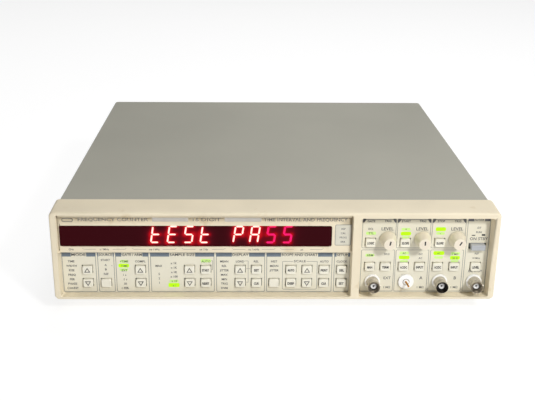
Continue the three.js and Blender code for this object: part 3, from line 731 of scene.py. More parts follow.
# Columns of small legends: x, the row that they start in, and the words.
LEGENDS = [
    (-164, 0, ["TIME", "WIDTH", "RISE", "FREQ", "PER", "PHASE", "COUNT"]),
    (-136.5, -0.3, ["START"]),
    (-136.5, 0.8, ["A", "B", "REF"]),
    (-121.6, 0, ["+TIME", "TIME", "EXT", "1 s", ".1 s", ".01", "1 PER"]),
    (-108.6, 0, ["COMPL"]),
    (-93.8, 1, ["MAX"]),
    (-93.8, 2.8, ["5", "2", "1"]),
    (-81.8, 0.4, ["x 1K", "x 1K", "x 1K", "x 100", "x 10", "x 1"]),
    (-55.9, 0, ["AUTO"]),
    (-41.2, 0, ["MEAN", "REL", "JITTER", "MAX", "MIN", "TRIG", "DVM"]),
    (-28.4, 0, ["LOAD"]),
    (-15.4, 0, ["REL"]),
    (-0.9, 0, ["HIST", "MEAN", "JITTER"]),
    (39.5, 0, ["AUTO"]),
    (53.8, 0, ["CLOCK"]),
]

# Light bars behind the legends, lit and faintly lit by their neighbours: x, z, width, height.
BARS_LIT = [
    (-122.0, 26.7, 8.6, 3.2), (-82.1, 9.4, 9.0, 3.6), (104.1, 54.8, 8.2, 3.3),
    (131.9, 58.6, 8.2, 3.3), (104.0, 34.0, 8.6, 3.2), (131.8, 37.8, 8.8, 3.4),
    (145.2, 33.7, 8.0, 3.2),
]
BARS_PALE = [
    (-121.6, 30.4, 6.6, 2.4), (-122.1, 23.1, 6.6, 2.2), (-81.9, 13.0, 7.2, 2.2),
    (-55.9, 31.0, 8.2, 3.0), (76.2, 55.0, 8.0, 2.6), (104.0, 58.5, 7.2, 2.2), (104.3, 51.6, 6.2, 1.6),
    (131.9, 55.0, 6.8, 2.2), (76.2, 35.9, 7.2, 2.4), (103.9, 37.8, 7.6, 2.6), (104.0, 30.8, 6.4, 1.4),
    (131.9, 34.0, 7.0, 2.2), (145.3, 37.5, 7.4, 2.2), (145.2, 30.8, 6.2, 1.4),
]


def group_outline(left, right, top, bottom, radius=1.0, steps=4):
    """A group's sides and rounded bottom as an open path from its top left."""
    path = [(left, top)]
    for centre_x, quarter in ((left + radius, 2), (right - radius, 3)):
        path += quarter_arc(centre_x, bottom + radius, radius, quarter, steps)
    path.append((right, top))
    return path


def make_control_print():
    front = PANEL_Y - INK
    lines, headings, words = bmesh.new(), bmesh.new(), bmesh.new()
    heading_z = (GROUP_TOP + CONTROL_TOP) / 2
    for title, left, right, title_width in GROUPS:
        add_ribbon(lines, group_outline(left, right, GROUP_TOP, GROUP_BOTTOM), 0.5, front)
        middle, reach = (left + right) / 2, title_width / 2 + 0.4
        for start, end in ((left - 0.25, middle - reach), (middle + reach, right + 0.25)):
            add_box(headings, (start, front, GROUP_TOP), (end, PANEL_Y, CONTROL_TOP))
        add_text(words, front, title, middle, heading_z, 2.2, title_width, weight=0.02)
    for x, first_row, legend in LEGENDS:
        for row, word in enumerate(legend):
            add_text(words, front - INK, word, x, LEGEND_TOP - (first_row + row) * LEGEND_PITCH, 1.75)
    # A line of painted shadow under the display surround's lower edge, the scale group inside the
    # chart group, and the brackets that tie keys together.
    surround_shadow_z, scale_left, scale_right, scale_top = 38.3, 5.9, 33.9, 30.4
    for path, width in (
        ([(CONTROL_X[0] + 1.4, surround_shadow_z), (CONTROL_X[1] - 1, surround_shadow_z)], 0.6),
        (group_outline(scale_left, scale_right, scale_top, 5.6, radius=1.2), 0.4),
        ([(scale_left, scale_top), (14.4, scale_top)], 0.4),
        ([(25.2, scale_top), (scale_right, scale_top)], 0.4),
        ([(-24.6, 30.8), (-21.9, 30.8), (-21.9, 11.9), (-23.3, 11.9)], 0.35),
        ([(-23.3, 24.0), (-20.4, 24.0)], 0.35),
        ([(-51.6, 31.0), (-50.6, 31.0), (-50.6, 23.2), (-51.4, 23.2)], 0.35),
        ([(-131.8, 26.9), (-131.2, 26.2)], 0.5),
    ):
        add_ribbon(lines, path, width, front)
    add_text(words, front, "SCALE", 19.8, 30.6, 1.8, 9.6)
    print_piece("control_lines", lines, LINE_INK)
    print_piece("control_headings", headings, HEADING_INK)
    print_piece("control_legends", words, GREY_INK)


# The input panel's columns: left and right edges, and the first word over them.
INPUT_COLUMNS = [(69.3, 96.0, "GATE"), (97.2, 123.7, "START"), (125.1, 151.8, "STOP")]
POWER_COLUMN = (153.4, 171.2)
INPUT_TOP = 66.3
UPPER_BOTTOM = 42.3
LOWER_TOP = 40.6
INPUT_BOTTOM = 3.9
CORNER_WEDGE = ((0, -1.2), (0, 2.2), (0.9, 2.0), (2.2, 0.4), (2.5, -1.2))  # inward, down

# The input panel's words: x, z, the capitals' height and, where it is set, the width.
INPUT_WORDS = [
    ("POWER", 162.3, 66.6, 1.6, 7.6), ("SET", 162.6, 59.9, 1.5), ("RUN", 162.6, 56.1, 1.5),
    ("REF", 162.6, 37.4, 1.5), ("ON STBY", 163.1, 50.4, 2.4, 14.4), ("10 MHz", 162.6, 33.4, 1.4),
    ("OUTPUT", 162.6, 21.9, 1.8, 11.5), ("EXT", 91.2, 15.8, 2.3), ("A", 118.8, 15.8, 2.6),
    ("B", 146.6, 15.8, 2.6), ("1 MΩ", 91.4, 7.4, 1.8), ("1 MΩ", 118.8, 7.4, 1.8),
    ("1 MΩ", 146.6, 7.4, 1.8),
]
INPUT_BAR_WORDS = [
    ("50 Ω", 89.8, 36.9, 1.5), ("DC", 117.2, 36.9, 1.5), ("AC", 117.2, 33.4, 1.5),
    ("1 MΩ", 145.3, 36.9, 1.5), ("50 Ω", 145.3, 33.4, 1.5), ("AC", 103.9, 37.7, 1.5),
    ("AC", 131.8, 37.7, 1.5), ("ECL", 76.0, 58.8, 1.7), ("TTL", 76.2, 55.0, 1.7),
    ("ARM", 76.2, 35.9, 1.7), ("+", 104.0, 58.5, 1.7), ("-", 131.9, 55.0, 1.7),
]


def make_input_print():
    front = PANEL_Y - INK
    lines, headings = bmesh.new(), bmesh.new()
    words, symbols = bmesh.new(), bmesh.new()
    line = 0.45
    for left, right, first_word in INPUT_COLUMNS:
        middle = (left + right) / 2
        add_ribbon(lines, group_outline(left, right, INPUT_TOP, UPPER_BOTTOM), line, front)
        centre_z, height = (LOWER_TOP + INPUT_BOTTOM) / 2, LOWER_TOP - INPUT_BOTTOM
        lower = rounded_outline(middle, centre_z, right - left, height, 1.0, 4)
        add_ribbon(lines, lower, line, front, closed=True)
        for end, inward in ((left, 1), (right, -1)):
            wedge = [(end + inward * reach, INPUT_TOP - drop) for reach, drop in CORNER_WEDGE]
            add_slab(headings, wedge[::inward], front, INK)
        # A dark line along the column's top, just under the bezel's lip: partly the group's top border,
        # partly painted shadow of the lip.
        add_ribbon(lines, [(left, INPUT_TOP + 0.5), (right, INPUT_TOP + 0.5)], 0.8, front)
        for word, offset in ((first_word, -6.6), ("TRIG", 6.6)):
            add_text(words, front, word, middle + offset, INPUT_TOP - 0.8, 1.7, weight=0.02)
        add_text(words, front, "LEVEL", middle + 6.6, 58.9, 2.6, 9.6)
    left, right = POWER_COLUMN
    add_ribbon(lines, group_outline(left, right, INPUT_TOP, INPUT_BOTTOM), line, front)
    block = 4.6
    for start in (left, right - block):
        add_box(headings, (start, front, INPUT_TOP - 0.8), (start + block, PANEL_Y, INPUT_TOP + 1.6))
    for x, height in ((158.6, 0.8), (166.6, 1.5)):
        add_box(symbols, (x - 1.4, front, 52.9), (x + 1.4, PANEL_Y, 52.9 + height))
    for row in INPUT_WORDS:
        add_text(words, front, *row)
    for row in INPUT_BAR_WORDS:
        add_text(words, front - INK, *row)
    print_piece("input_lines", lines, LINE_INK)
    print_piece("input_headings", headings, CORNER_INK)
    print_piece("input_legends", words, GREY_INK)
    print_piece("power_symbols", symbols, BLACK_INK)


def make_light_bars():
    for name, bars, material, lift in (
        ("light_bars_lit", BARS_LIT, LIT, 0.09),
        ("light_bars_leak", BARS_PALE, PALE, 0.04),
    ):
        bm = bmesh.new()
        for x, z, width, height in bars:
            outline = rounded_outline(x, z, width, height, min(1.1, height * 0.42), 5)
            add_slab(bm, outline, PANEL_Y - lift, lift + 0.05)
        new_piece(name, bm, material, slot="indicator_lit", smooth=None)


# The brackets under the display: left and right ends, and the unit between them.
UNIT_BRACKETS = [
    (-153.4, -118.6, "s / MHz"), (-113.9, -79.0, "ms / kHz"), (-74.4, -40.0, "us / Hz"),
    (-34.7, -0.2, "ns / mHz"), (3.8, 38.2, "ps"),
]

# The header strip's generic titles: x, z, the capitals' height and the width.
HEADER_TITLES = [
    ("FREQUENCY COUNTER", -128, 68.4, 2.7, 55),
    ("16 DIGIT", -54.5, 68.4, 2.7, 22),
    ("TIME INTERVAL AND FREQUENCY", 23.5, 68.4, 2.7, 66),
]


def make_display_print():
    front = SHELF_Y - INK
    words, titles, bars, lines = bmesh.new(), bmesh.new(), bmesh.new(), bmesh.new()
    badge = rounded_outline(-163.8, 67.9, 8.2, 2.7, 1.1, 5)
    add_ribbon(words, badge, 0.42, front, closed=True)
    for row in HEADER_TITLES:
        add_text(titles, front, *row)
    for start, end in ((-97.3, -69.1), (-40.4, -11.5)):
        add_box(bars, (start, front, 66.7), (end, SHELF_Y, 70.1))
    unit_z, gap, rise = 42.9, 6.6, 1.0
    add_text(words, front, "GHz", -162.3, unit_z - 0.1, 1.5)
    for left, right, unit in UNIT_BRACKETS:
        middle = (left + right) / 2
        for end, inward in ((left, 1), (right, -1)):
            stop = middle - inward * gap
            bracket = [(end, unit_z + rise), (end + inward * 1.2, unit_z), (stop, unit_z)]
            add_ribbon(lines, bracket[::inward], 0.28, front)
        add_text(words, front, unit, middle, unit_z, 1.6)
    annunciator = rounded_outline(53.4, 55.3, 12.4, 17.4, 0.8, 3)
    film = bmesh.new()
    add_slab(film, annunciator, front + 0.02, INK)
    # The dark outline round the annunciator's window is painted shade of its edge.
    add_ribbon(lines, annunciator, 0.5, front, closed=True)
    for row, word in enumerate(("REF", "CAL", "PROG", "ERR")):
        add_text(words, front, word, 53.5, 60.6 - row * 3.7, 1.5)
    new_piece("annunciator_film", film, ANNUNCIATOR, slot="panel", smooth=None)
    print_piece("display_titles", titles, HEADER_INK)
    print_piece("display_legends", words, GREY_INK)
    print_piece("display_header_bars", bars, SILVER_INK)
    print_piece("display_lines", lines, LINE_INK)


# ------------------------------------------------------------------ keys, knobs and switch

# What each key's face carries: an arrow, a generic word, or nothing.
KEY_FACES = {
    "mode_up": "up", "mode_down": "down", "source": "", "gate_up": "up", "gate_down": "down",
    "sample_size_up": "up", "sample_size_down": "down", "start": "START", "reset": "RESET",
    "display_up": "up", "display_down": "down", "reference_set": "SET", "reference_clear": "CLR",
    "chart_select": "", "scale_auto": "AUTO", "scale_show": "DISP", "scale_up": "up",
    "scale_down": "down", "print": "PRINT", "print_clear": "CLR", "setup_select": "SEL",
    "setup_set": "SET", "logic": "LOGIC", "a_slope": "SLOPE", "b_slope": "SLOPE", "manual": "MAN",
    "ext_termination": "TERM", "a_coupling": "AC/DC", "a_input": "INPUT", "b_coupling": "AC/DC",
    "b_input": "INPUT", "reference_level": "LEVEL",
}
KEY_WIDTH = 8.2
KEY_HEIGHT = 6.5
KEY_HEAD = 0.5  # depth of the head
KEY_DROP = 0.9  # how far the head hangs below the stem
KEY_RINGS = [  # depth behind the face, inset from the cap's sides, corner radius
    (0.1, 1.7, 0.8), (0.02, 1.1, 0.95), (0.0, 0.8, 1.05), (0.05, 0.55, 1.15), (0.22, 0.3, 1.25),
    (0.45, 0.12, 1.3), (0.52, 0.12, 1.3), (1.6, 0.03, 1.3), (4.2, 0.0, 1.3),
]


def add_arrow(bm, x, z, y_front, direction):
    """A hollow triangle that points up (1) or down (-1)."""
    half, rise = 1.95, direction * 1.65
    corners = [(x - half, z - rise), (x + half, z - rise), (x, z + rise)]
    add_ribbon(bm, corners, 0.5, y_front, closed=True)


def make_keys():
    for name, face_text in KEY_FACES.items():
        node = f"key_{name}"
        low, _, x, z = local_place(node)
        rings = []
        for depth, inset, radius in KEY_RINGS:
            drop = KEY_DROP if depth < KEY_HEAD else 0
            width, height = KEY_WIDTH - 2 * inset, KEY_HEIGHT + drop - 2 * inset
            rings.append((low.y + depth, rounded_outline(x, z - drop / 2, width, height, radius, 5)))
        new_piece(f"{node}_cap", loft_mesh(node, rings), KEY, node, "key", [node], smooth=40)
        if not face_text:
            continue
        bm = bmesh.new()
        front = low.y + 0.02 - INK
        z -= KEY_DROP / 2
        if face_text in ("up", "down"):
            add_arrow(bm, x, z, front, 1 if face_text == "up" else -1)
        else:
            width = min(5.6, 1.35 * len(face_text))
            add_text(bm, front, face_text, x, z, 1.9, width, thickness=3 * INK, weight=0.03)
        print_piece(f"{node}_legend", bm, BLACK_INK, node)


KNOB_POINTER = {"ext": 12, "a": 0, "b": 30}  # degrees clockwise from the top, at rest
KNOB_PROFILE = [  # radius, distance behind the tip
    (0, 0.12), (3.9, 0.12), (4.25, 0), (4.6, 0.08), (4.85, 0.35), (4.95, 0.8), (5.3, 3.0),
    (6.62, 9.6), (6.8, 10.3), (6.8, 11.2), (6.6, 11.4), (3.0, 11.4),
]
KNOB_CAP = [(0, 0.06), (4.0, 0.06), (4.0, 0.2), (0, 0.2)]


def make_knobs():
    for channel, pointer in KNOB_POINTER.items():
        node = f"level_knob_{channel}"
        low, high, x, z = local_place(node)
        tip = low.y
        profile = profile_from(tip, KNOB_PROFILE) + [(3.0, high.y), (0, high.y)]
        turned(f"{node}_body", x, z, profile, KNOB, "knob", 64, body=node, replaces=[node])
        turned(f"{node}_face", x, z, profile_from(tip, KNOB_CAP), KNOB_FACE, "knob", 64, body=node)
        angle = math.radians(pointer)
        direction = Vector((math.sin(angle), math.cos(angle)))
        centre = Vector((x, z))
        bm = bmesh.new()
        add_ribbon(bm, [centre - direction * 0.6, centre + direction * 2.8], 1.15, tip + 0.01)
        print_piece(f"{node}_pointer", bm, BLACK_INK, node)


POWER_WIDTH = 11.6
POWER_HEIGHT = 4.7
POWER_RINGS = [(0.12, 1.0), (0.0, 0.6), (0.1, 0.3), (0.45, 0.08), (1.2, 0.0)]  # depth, inset


def make_power_button():
    node = "power_button"
    low, high, x, z = local_place(node)
    rings = [(low.y + depth, inset) for depth, inset in POWER_RINGS] + [(high.y, 0)]
    mesh = loft_mesh(node, [
        (y, rounded_outline(x, z, POWER_WIDTH - 2 * inset, POWER_HEIGHT - 2 * inset, 0.7, 5))
        for y, inset in rings
    ])
    new_piece(f"{node}_cap", mesh, POWER, node, node, [node], smooth=40)


# ------------------------------------------------------------------ connectors

BARREL, BORE = 4.8, 4.05  # radii
DISC_BACK = PANEL_Y - 0.3
DISC_FRONT = DISC_BACK - 1.8
RIM = [  # radius, distance behind the socket's tip
    (4.0, 9.5), (4.0, 0.3), (4.15, -0.03), (4.65, -0.03), (4.83, 0.22), (4.83, 0.9), (4.7, 0.9),
    (4.7, 0.3), (4.1, 0.3), (3.4, 0.9), (3.2, 1.3), (3.2, 9.5),
]
CONTACT = [(0.45, 1.2), (0.85, 1.2), (0.85, 3.4), (0.45, 3.4)]
INSULATOR_MOUTH = [(2.4, 0.2), (2.2, 0), (1.1, 0), (0.95, 0.2), (0.95, 3.5), (0, 3.5)]


def add_socket_barrel(bm, x, z, face, tip, sign):
    """A coaxial barrel with two bayonet lugs. sign is +1 where it points to the back."""
    flange, root = BARREL + 0.35, face + sign * 0.1
    outside = [
        (BORE, 0.25), (BORE + 0.2, 0), (BARREL - 0.2, 0), (BARREL, 0.2), (BARREL, 5.2),
        (BARREL - 0.35, 5.4), (BARREL - 0.35, 6.0), (flange, 6.2),
    ]
    profile = profile_from(tip, outside, -sign)
    profile += [(flange, root), (BORE - 0.4, root)]
    profile += profile_from(tip, [(BORE - 0.4, 7.0), (BORE, 7.0)], -sign)
    add_lathe(bm, x, z, profile, 48, closed=True)
    lug = {"radius1": 1.0 * MM, "radius2": 0.9 * MM, "depth": 1.9 * MM}
    for side in (-1, 1):
        centre = point(x + side * flange, tip - sign * 4.5, z)
        turn = Matrix.Translation(centre) @ Matrix.Rotation(math.pi / 2, 4, "Y")
        bmesh.ops.create_cone(bm, cap_ends=True, segments=16, matrix=turn, **lug)


def make_insulator(name, x, z, root, mouth, inward):
    """A socket's inner insulator, hollow at its mouth. inward is +1 where that is to the back."""
    profile = [(0, root), (2.4, root)] + profile_from(mouth, INSULATOR_MOUTH, inward)
    turned(name, x, z, profile, INSULATOR, "insulator", 32)


def make_disc(node, x, z):
    """A socket's white base disc, with the body that it clamps to the panel."""
    radius = 6.35
    profile = profile_from(DISC_FRONT, [(0, 0), (radius - 0.7, 0), (radius - 0.2, 0.2), (radius, 0.6)])
    profile += [(radius, DISC_BACK), (4.5, DISC_BACK), (4.5, 16.0), (0, 16.0)]
    return turned(f"{node}_disc", x, z, profile, INSULATOR, "insulator", 48)


def make_front_sockets():
    for channel, rim_metal in (("ext", DULL_NICKEL), ("b", DARK_NICKEL), ("ref", DULL_NICKEL)):
        node = f"socket_{channel}"
        low, _, x, z = local_place(node)
        tip, recess = low.y, low.y + 3.2
        bm = bmesh.new()
        add_socket_barrel(bm, x, z, DISC_FRONT, tip, -1)
        new_piece(f"{node}_barrel", bm, NICKEL, slot="nickel", replaces=[node], smooth=35)
        # The mating rim and the spring sleeve inside it are a darker nickel than the barrel, tarnished on
        # B.
        rim = profile_from(tip, RIM)
        turned(f"{node}_rim", x, z, rim, rim_metal, "nickel", 48, closed=True, smooth=35)
        make_disc(node, x, z)
        make_insulator(f"{node}_insulator", x, z, DISC_FRONT - 0.05, recess, 1)
        contact = profile_from(recess, CONTACT)
        turned(f"{node}_contact", x, z, contact, DARK_NICKEL, "nickel", 24, closed=True)


def make_broken_socket():
    """Channel A's socket, which has lost its barrel: a disc, a boss ringed with painted groove shade, and
    a bent pin.
    """
    node = "socket_a"
    _, high, x, _ = local_place(node)
    z = high.z - 6.4
    disc = make_disc(node, x, z)
    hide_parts(node)
    boss = profile_from(DISC_FRONT, [(0, -0.55), (1.9, -0.55), (2.25, -0.3), (2.3, 0.1), (0, 0.1)])
    turned(f"{node}_boss", x, z, boss, INSULATOR, "insulator")
    # A thin ring of dull metal round the boss: painted shade of the groove there.
    groove_shade_profile = profile_from(DISC_FRONT, [(2.35, -0.06), (2.75, -0.06), (2.75, 0.1), (2.35, 0.1)])
    turned(f"{node}_groove_shade_ring", x, z, groove_shade_profile, DULL_NICKEL, "nickel", closed=True)
    curve = bpy.data.curves.new("bent_pin", "CURVE")
    curve.dimensions = "3D"
    curve.bevel_depth = 0.75 * MM
    curve.bevel_resolution = 4
    curve.use_fill_caps = True
    spline = curve.splines.new("BEZIER")
    spline.bezier_points.add(2)
    route = [(-0.4, DISC_FRONT, 0.6), (0.3, 3.6, 0.1), (1.1, 0.5, -1.1)]
    for bezier, (dx, y, dz) in zip(spline.bezier_points, route):
        bezier.co = point(x + dx, y, z + dz)
        bezier.handle_left_type = bezier.handle_right_type = "AUTO"
    holder = linked("pin_curve", curve)
    mesh = mesh_of(holder)
    bpy.data.objects.remove(holder)
    new_piece(f"{node}_bent_pin", mesh, GOLD, slot="nickel", smooth=40)


REAR_SOCKETS = {"CHART 1": -150, "CHART 2": -122, "REF IN": -94, "REF OUT": -66, "GATE": -38}
REAR_SOCKET_Z = 17
PORTS = {"bus_port": ("BUS", -118), "serial_port": ("SERIAL", -38)}
PORT_Z = 48


def make_rear_connectors():
    low, high = local_box("rear_connector_board")
    board_back, tip, z = low.y + 1.6, high.y, REAR_SOCKET_Z
    mesh = box_mesh((low.x, low.y, low.z), (high.x, board_back, high.z))
    replaced = ["rear_connector_board"]
    new_piece("rear_board", mesh, BOARD, slot="circuit_board", replaces=replaced, smooth=None)
    words = bmesh.new()
    for index, (title, x) in enumerate(REAR_SOCKETS.items(), 1):
        name = f"rear_socket_{index}"
        bm = bmesh.new()
        add_socket_barrel(bm, x, z, REAR_Y + 1.9, tip, 1)
        add_slab(bm, rounded_hexagon(x, z, 6.4), REAR_Y, 1.9)
        new_piece(f"{name}_barrel", bm, NICKEL, slot="nickel", smooth=35)
        make_insulator(f"{name}_insulator", x, z, REAR_Y + 1.8, tip - 1.0, -1)
        neck = [(0, board_back), (4.5, board_back), (4.5, REAR_Y), (0, REAR_Y)]
        turned(f"{name}_neck", x, z, neck, NICKEL, "nickel", 32)
        add_rear_text(words, title, x, z + 10, 2.0)
    for name, (title, x) in PORTS.items():
        make_port(name, x, board_back)
        add_rear_text(words, title, x, PORT_Z + 11, 2.2)
    add_rear_text(words, "LINE", local_place("power_inlet")[2], 61, 2.2)
    print_piece("rear_legends", words, GREY_INK)


def add_rear_text(bm, words, x, z, height):
    """Lettering on the rear panel, read from behind."""
    fresh = bmesh.new()
    add_text(fresh, 0, words, 0, z, height)
    for v in fresh.verts:
        place = v.co - point(0, 0, 0)
        v.co = point(x, REAR_Y, 0) + Vector((-place.x, INK * MM - place.y, place.z))
    mesh = mesh_from(fresh, "rear words")
    bm.from_mesh(mesh)
    bpy.data.meshes.remove(mesh)


def rounded_hexagon(x, z, radius):
    outline = []
    for corner in range(6):
        for step in (-0.12, 0.12):
            angle = (corner + step) * math.pi / 3
            outline.append((x + radius * math.cos(angle), z + radius * math.sin(angle)))
    return outline


def make_port(name, x, root):
    """A data port: a metal shell with a flared rim round a black insert with two rows of slots."""
    width, height, face = 54, 12, REAR_Y + 5

    def ring(y, wider, taller, radius):
        return y, rounded_outline(x, PORT_Z, width + wider, height + taller, radius)

    shell = loft_mesh(name, [
        ring(root, -2, -2, 2), ring(REAR_Y + 0.04, -2, -2, 2), ring(REAR_Y + 0.05, 4, 4, 2.6),
        ring(REAR_Y + 1.5, 4, 4, 2.6), ring(REAR_Y + 1.9, -9, -2, 2.2), ring(face, -9.6, -2.6, 2.0),
    ])
    hollow = loft_mesh("hollow", [ring(REAR_Y, -12, -5, 1.4), ring(face + 1, -12, -5, 1.4)])
    mesh = carved(shell, [hollow], bevel=0.25, segments=2)
    new_piece(f"{name}_shell", mesh, CHASSIS, slot="connector_metal")
    insert, slots, posts = bmesh.new(), bmesh.new(), bmesh.new()
    y, outline = ring(REAR_Y + 0.05, -12.2, -5.2, 1.3)
    add_slab(insert, outline, y, 1.2)
    columns, pitch = 12, 3.2
    for row in (-1, 1):
        for column in range(columns):
            slot_x = x + (column - (columns - 1) / 2) * pitch
            slot_z = PORT_Z + row * 1.7
            low = (slot_x - 0.6, REAR_Y + 1.2, slot_z - 0.4)
            add_box(slots, low, (slot_x + 0.6, REAR_Y + 1.45, slot_z + 0.4))
    for side in (-1, 1):
        post = rounded_hexagon(x + side * (width / 2 - 2.6), PORT_Z, 2.3)
        add_slab(posts, post, REAR_Y + 1.6, 3.0)
    new_piece(f"{name}_insert", insert, BLACK, slot="black_plastic")
    new_piece(f"{name}_contacts", slots, GOLD, slot="nickel", smooth=None)
    new_piece(f"{name}_jack_posts", posts, NICKEL, slot="nickel", smooth=None)


def make_power_inlet():
    node = "power_inlet"
    low, high, x, z = local_place(node)
    rim, back = REAR_Y + 0.3, high.y
    body = loft_mesh("inlet", [
        (y, rounded_outline(x, z, width, height, radius))
        for y, width, height, radius in (
            (low.y, 26.4, 32.4, 2), (rim, 26.4, 32.4, 2), (rim + 0.01, 33, 40, 2.5),
            (back - 0.6, 33, 40, 2.5), (back, 31.6, 38.6, 2.0),
        )
    ])
    deep, cavity_z = 17, z - 5.5
    mouth = cavity_outline(x, cavity_z, 24, 16)
    cavity = loft_mesh("cavity", [(back - deep, mouth), (back + 1, mouth)])
    drawer_slot = box_mesh((x - 11.4, back - 1.2, z + 6.6), (x + 11.4, back + 1, z + 16.4))
    mesh = carved(body, [cavity, drawer_slot], bevel=0.3, segments=2)
    new_piece("inlet_housing", mesh, BLACK, slot="black_plastic", replaces=[node])
    drawer = box_mesh((x - 11, back - 1.1, z + 7.0), (x + 11, back - 0.1, z + 16.0))
    notch = box_mesh((x - 3, back - 0.7, z + 13.4), (x + 3, back + 1, z + 15.2))
    mesh = carved(drawer, [notch], bevel=0.3, segments=2)
    new_piece("fuse_drawer", mesh, BLACK, slot="black_plastic")
    pins = bmesh.new()
    for pin_x, pin_z in ((x - 7, cavity_z - 2), (x + 7, cavity_z - 2), (x, cavity_z + 2)):
        add_box(pins, (pin_x - 1, back - deep, pin_z - 2), (pin_x + 1, back - 3.5, pin_z + 2))
    mesh = carved(mesh_from(pins, "pins"), [], bevel=0.5, segments=2)
    new_piece("inlet_pins", mesh, NICKEL, slot="nickel")


def cavity_outline(x, z, width, height):
    """A mains socket's mouth: a rectangle with its two lower corners cut off."""
    half, tall, chamfer = width / 2, height / 2, 4.5
    flat, cut = half - chamfer, chamfer - tall
    corners = ((half, tall), (-half, tall), (-half, cut), (-flat, -tall), (flat, -tall), (half, cut))
    return [(x + dx, z + dz) for dx, dz in corners]


# ------------------------------------------------------------------ screws and the rest


def add_screw(heads, recess_shade_bars, centre, outward, radius):
    """A pan head with a domed face, and a black cross on it, painted shade in place of its recess."""
    axis = Vector((0, 0, 1)).rotation_difference(Vector(outward)).to_matrix().to_4x4()
    turn = Matrix.Translation(centre) @ axis

    def place(x, y, z):
        return turn @ (Vector((x, y, z)) * MM)

    rise = radius * 0.45
    dome = [(0, 1), (0.35, 0.98), (0.7, 0.78), (0.95, 0.35), (1, 0)]
    profile = [(share * radius, height * rise) for share, height in dome] + [(0, -0.2)]
    add_lathe(heads, 0, 0, profile, 24, place=lambda x, y, z: place(x, z, y))
    # The cross is black bars standing on the dome: painted shade, not a cut recess.
    long, thin, top = radius * 0.55, radius * 0.13, radius * 0.47
    for half_x, half_y in ((long, thin), (thin, long)):
        add_box(recess_shade_bars, (-half_x, -half_y, 0), (half_x, half_y, top), place)


def make_screws():
    _, _, fan_x, fan_z = local_place("fan_frame")
    bottom = local_box("bottom_cover")[0].z
    ends = (-1, 1)
    sides = [(side * COVER_HIGH.x, y, z) for side in ends for y in (50, 190, 335) for z in (16, 62)]
    places = [(place, (place[0], 0, 0), 3.2) for place in sides]
    rear = [(x, REAR_Y, z) for x in (-164, -78, 30, 122, 166) for z in (8, 68)]
    rear += [(fan_x + 25 * side, REAR_Y, fan_z + 25 * end) for side in ends for end in ends]
    places += [(place, (0, 1, 0), 2.8) for place in rear]
    places += [((x, y, bottom), (0, 0, -1), 2.8) for x in (-120, 120) for y in (60, 180, 300)]
    heads, recess_shade_bars = bmesh.new(), bmesh.new()
    for place, outward, radius in places:
        add_screw(heads, recess_shade_bars, point(*place), outward, radius)
    new_piece("case_screws", heads, NICKEL, slot="chassis_metal", smooth=40)
    # Black crosses painted as the shade of the screws' recesses.
    new_piece("case_screw_recess_shade", recess_shade_bars, BLACK, slot="black_plastic", smooth=None)


CARRIED_OVER = {
    "control_panel": PANEL, "input_panel": PANEL, "display_board": BOARD, "input_board": BOARD,
    "main_board": BOARD, "chassis_frame": CHASSIS, "rear_panel": REAR, "mains_transformer": CORE,
    "fan_frame": BLACK, "fan_impeller": BLACK,
}


def dress_cad_nodes():
    for node, material in CARRIED_OVER.items():
        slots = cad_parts[node].data.materials
        slots.clear()
        slots.append(material)


# ------------------------------------------------------------------ stage, light and camera


def make_stage():
    floor_z = local_box("foot_front_left")[0].z
    half = 12000
    bm = bmesh.new()
    corners = [(-half, -half), (half, -half), (half, half), (-half, half)]
    bm.faces.new([bm.verts.new(point(x, y, floor_z)) for x, y in corners])
    mesh = mesh_from(bm, "floor")
    constants = {
        "Base Color": grey(0.25),
        "Roughness": 0.9,
        "Specular IOR Level": 0.0,
        "Emission Color": grey(1),
        "Emission Strength": 0.82,
    }
    material, _, _ = new_material("pale_floor", constants)
    mesh.materials.append(material)
    floor = linked("floor", mesh)


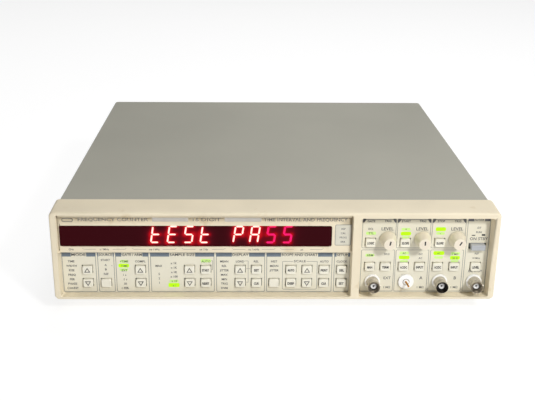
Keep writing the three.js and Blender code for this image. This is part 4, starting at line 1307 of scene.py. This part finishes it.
# Each light: its way from the case's middle, how far off it is, its size and its power.
LIGHTS = {
    "key_light": ((0.43, -0.7, 0.57), 1.5, 0.19, 14),
    "top_light": ((0.2, -0.3, 0.93), 1.9, 1.2, 9.5),
    "back_light": ((0.15, 0.5, 0.85), 1.9, 1.0, 15),
}


def make_light():
    world = bpy.data.worlds.new("studio")
    world.use_nodes = True
    tree = world.node_tree
    coords = tree.nodes.new("ShaderNodeTexCoord")
    direction = tree.nodes.new("ShaderNodeSeparateXYZ")
    tree.links.new(coords.outputs["Generated"], direction.inputs["Vector"])
    # A pale studio wall low down, and a dim ceiling over it.
    wall_to_ceiling = [(0.0, grey(0.78)), (0.06, grey(0.75)), (0.32, grey(0.05))]
    sky = ramp(tree, direction.outputs["Z"], wall_to_ceiling)
    tree.links.new(sky, tree.nodes["Background"].inputs["Color"])
    bpy.context.scene.world = world
    middle = point(0, 60, 30)
    for name, (way, distance, size, power) in LIGHTS.items():
        data = bpy.data.lights.new(name, "AREA")
        data.size = size
        data.energy = power
        offset = Vector(way) * distance
        light = linked(name, data)
        light.location = middle + offset
        light.rotation_euler = (-offset).to_track_quat("-Z", "Y").to_euler()


LENS = 60.15
SENSOR = 36.0
CAMERA_PLACE = (-20.9, -649.4, 327.3)
CAMERA_YAW = math.radians(-1.23)
CAMERA_PITCH = math.radians(20.37)
CAMERA_ROLL = math.radians(0.53)


def make_camera():
    data = bpy.data.cameras.new("camera")
    data.lens = LENS
    data.sensor_width = SENSOR
    data.sensor_fit = "HORIZONTAL"
    camera = linked("camera", data)
    aim = (
        Matrix.Rotation(CAMERA_YAW, 4, "Z")
        @ Matrix.Rotation(math.pi / 2 - CAMERA_PITCH, 4, "X")
        @ Matrix.Rotation(CAMERA_ROLL, 4, "Z")
    )
    camera.matrix_world = Matrix.Translation(point(*CAMERA_PLACE)) @ aim
    bpy.context.scene.camera = camera


make_camera()
make_bezel()
make_window()
make_numerals()
make_covers()
make_feet()
make_control_print()
make_input_print()
make_display_print()
make_light_bars()
make_keys()
make_knobs()
make_power_button()
make_front_sockets()
make_broken_socket()
make_rear_connectors()
make_power_inlet()
make_screws()
dress_cad_nodes()
make_stage()
make_light()
bpy.context.scene.view_settings.view_transform = "Standard"
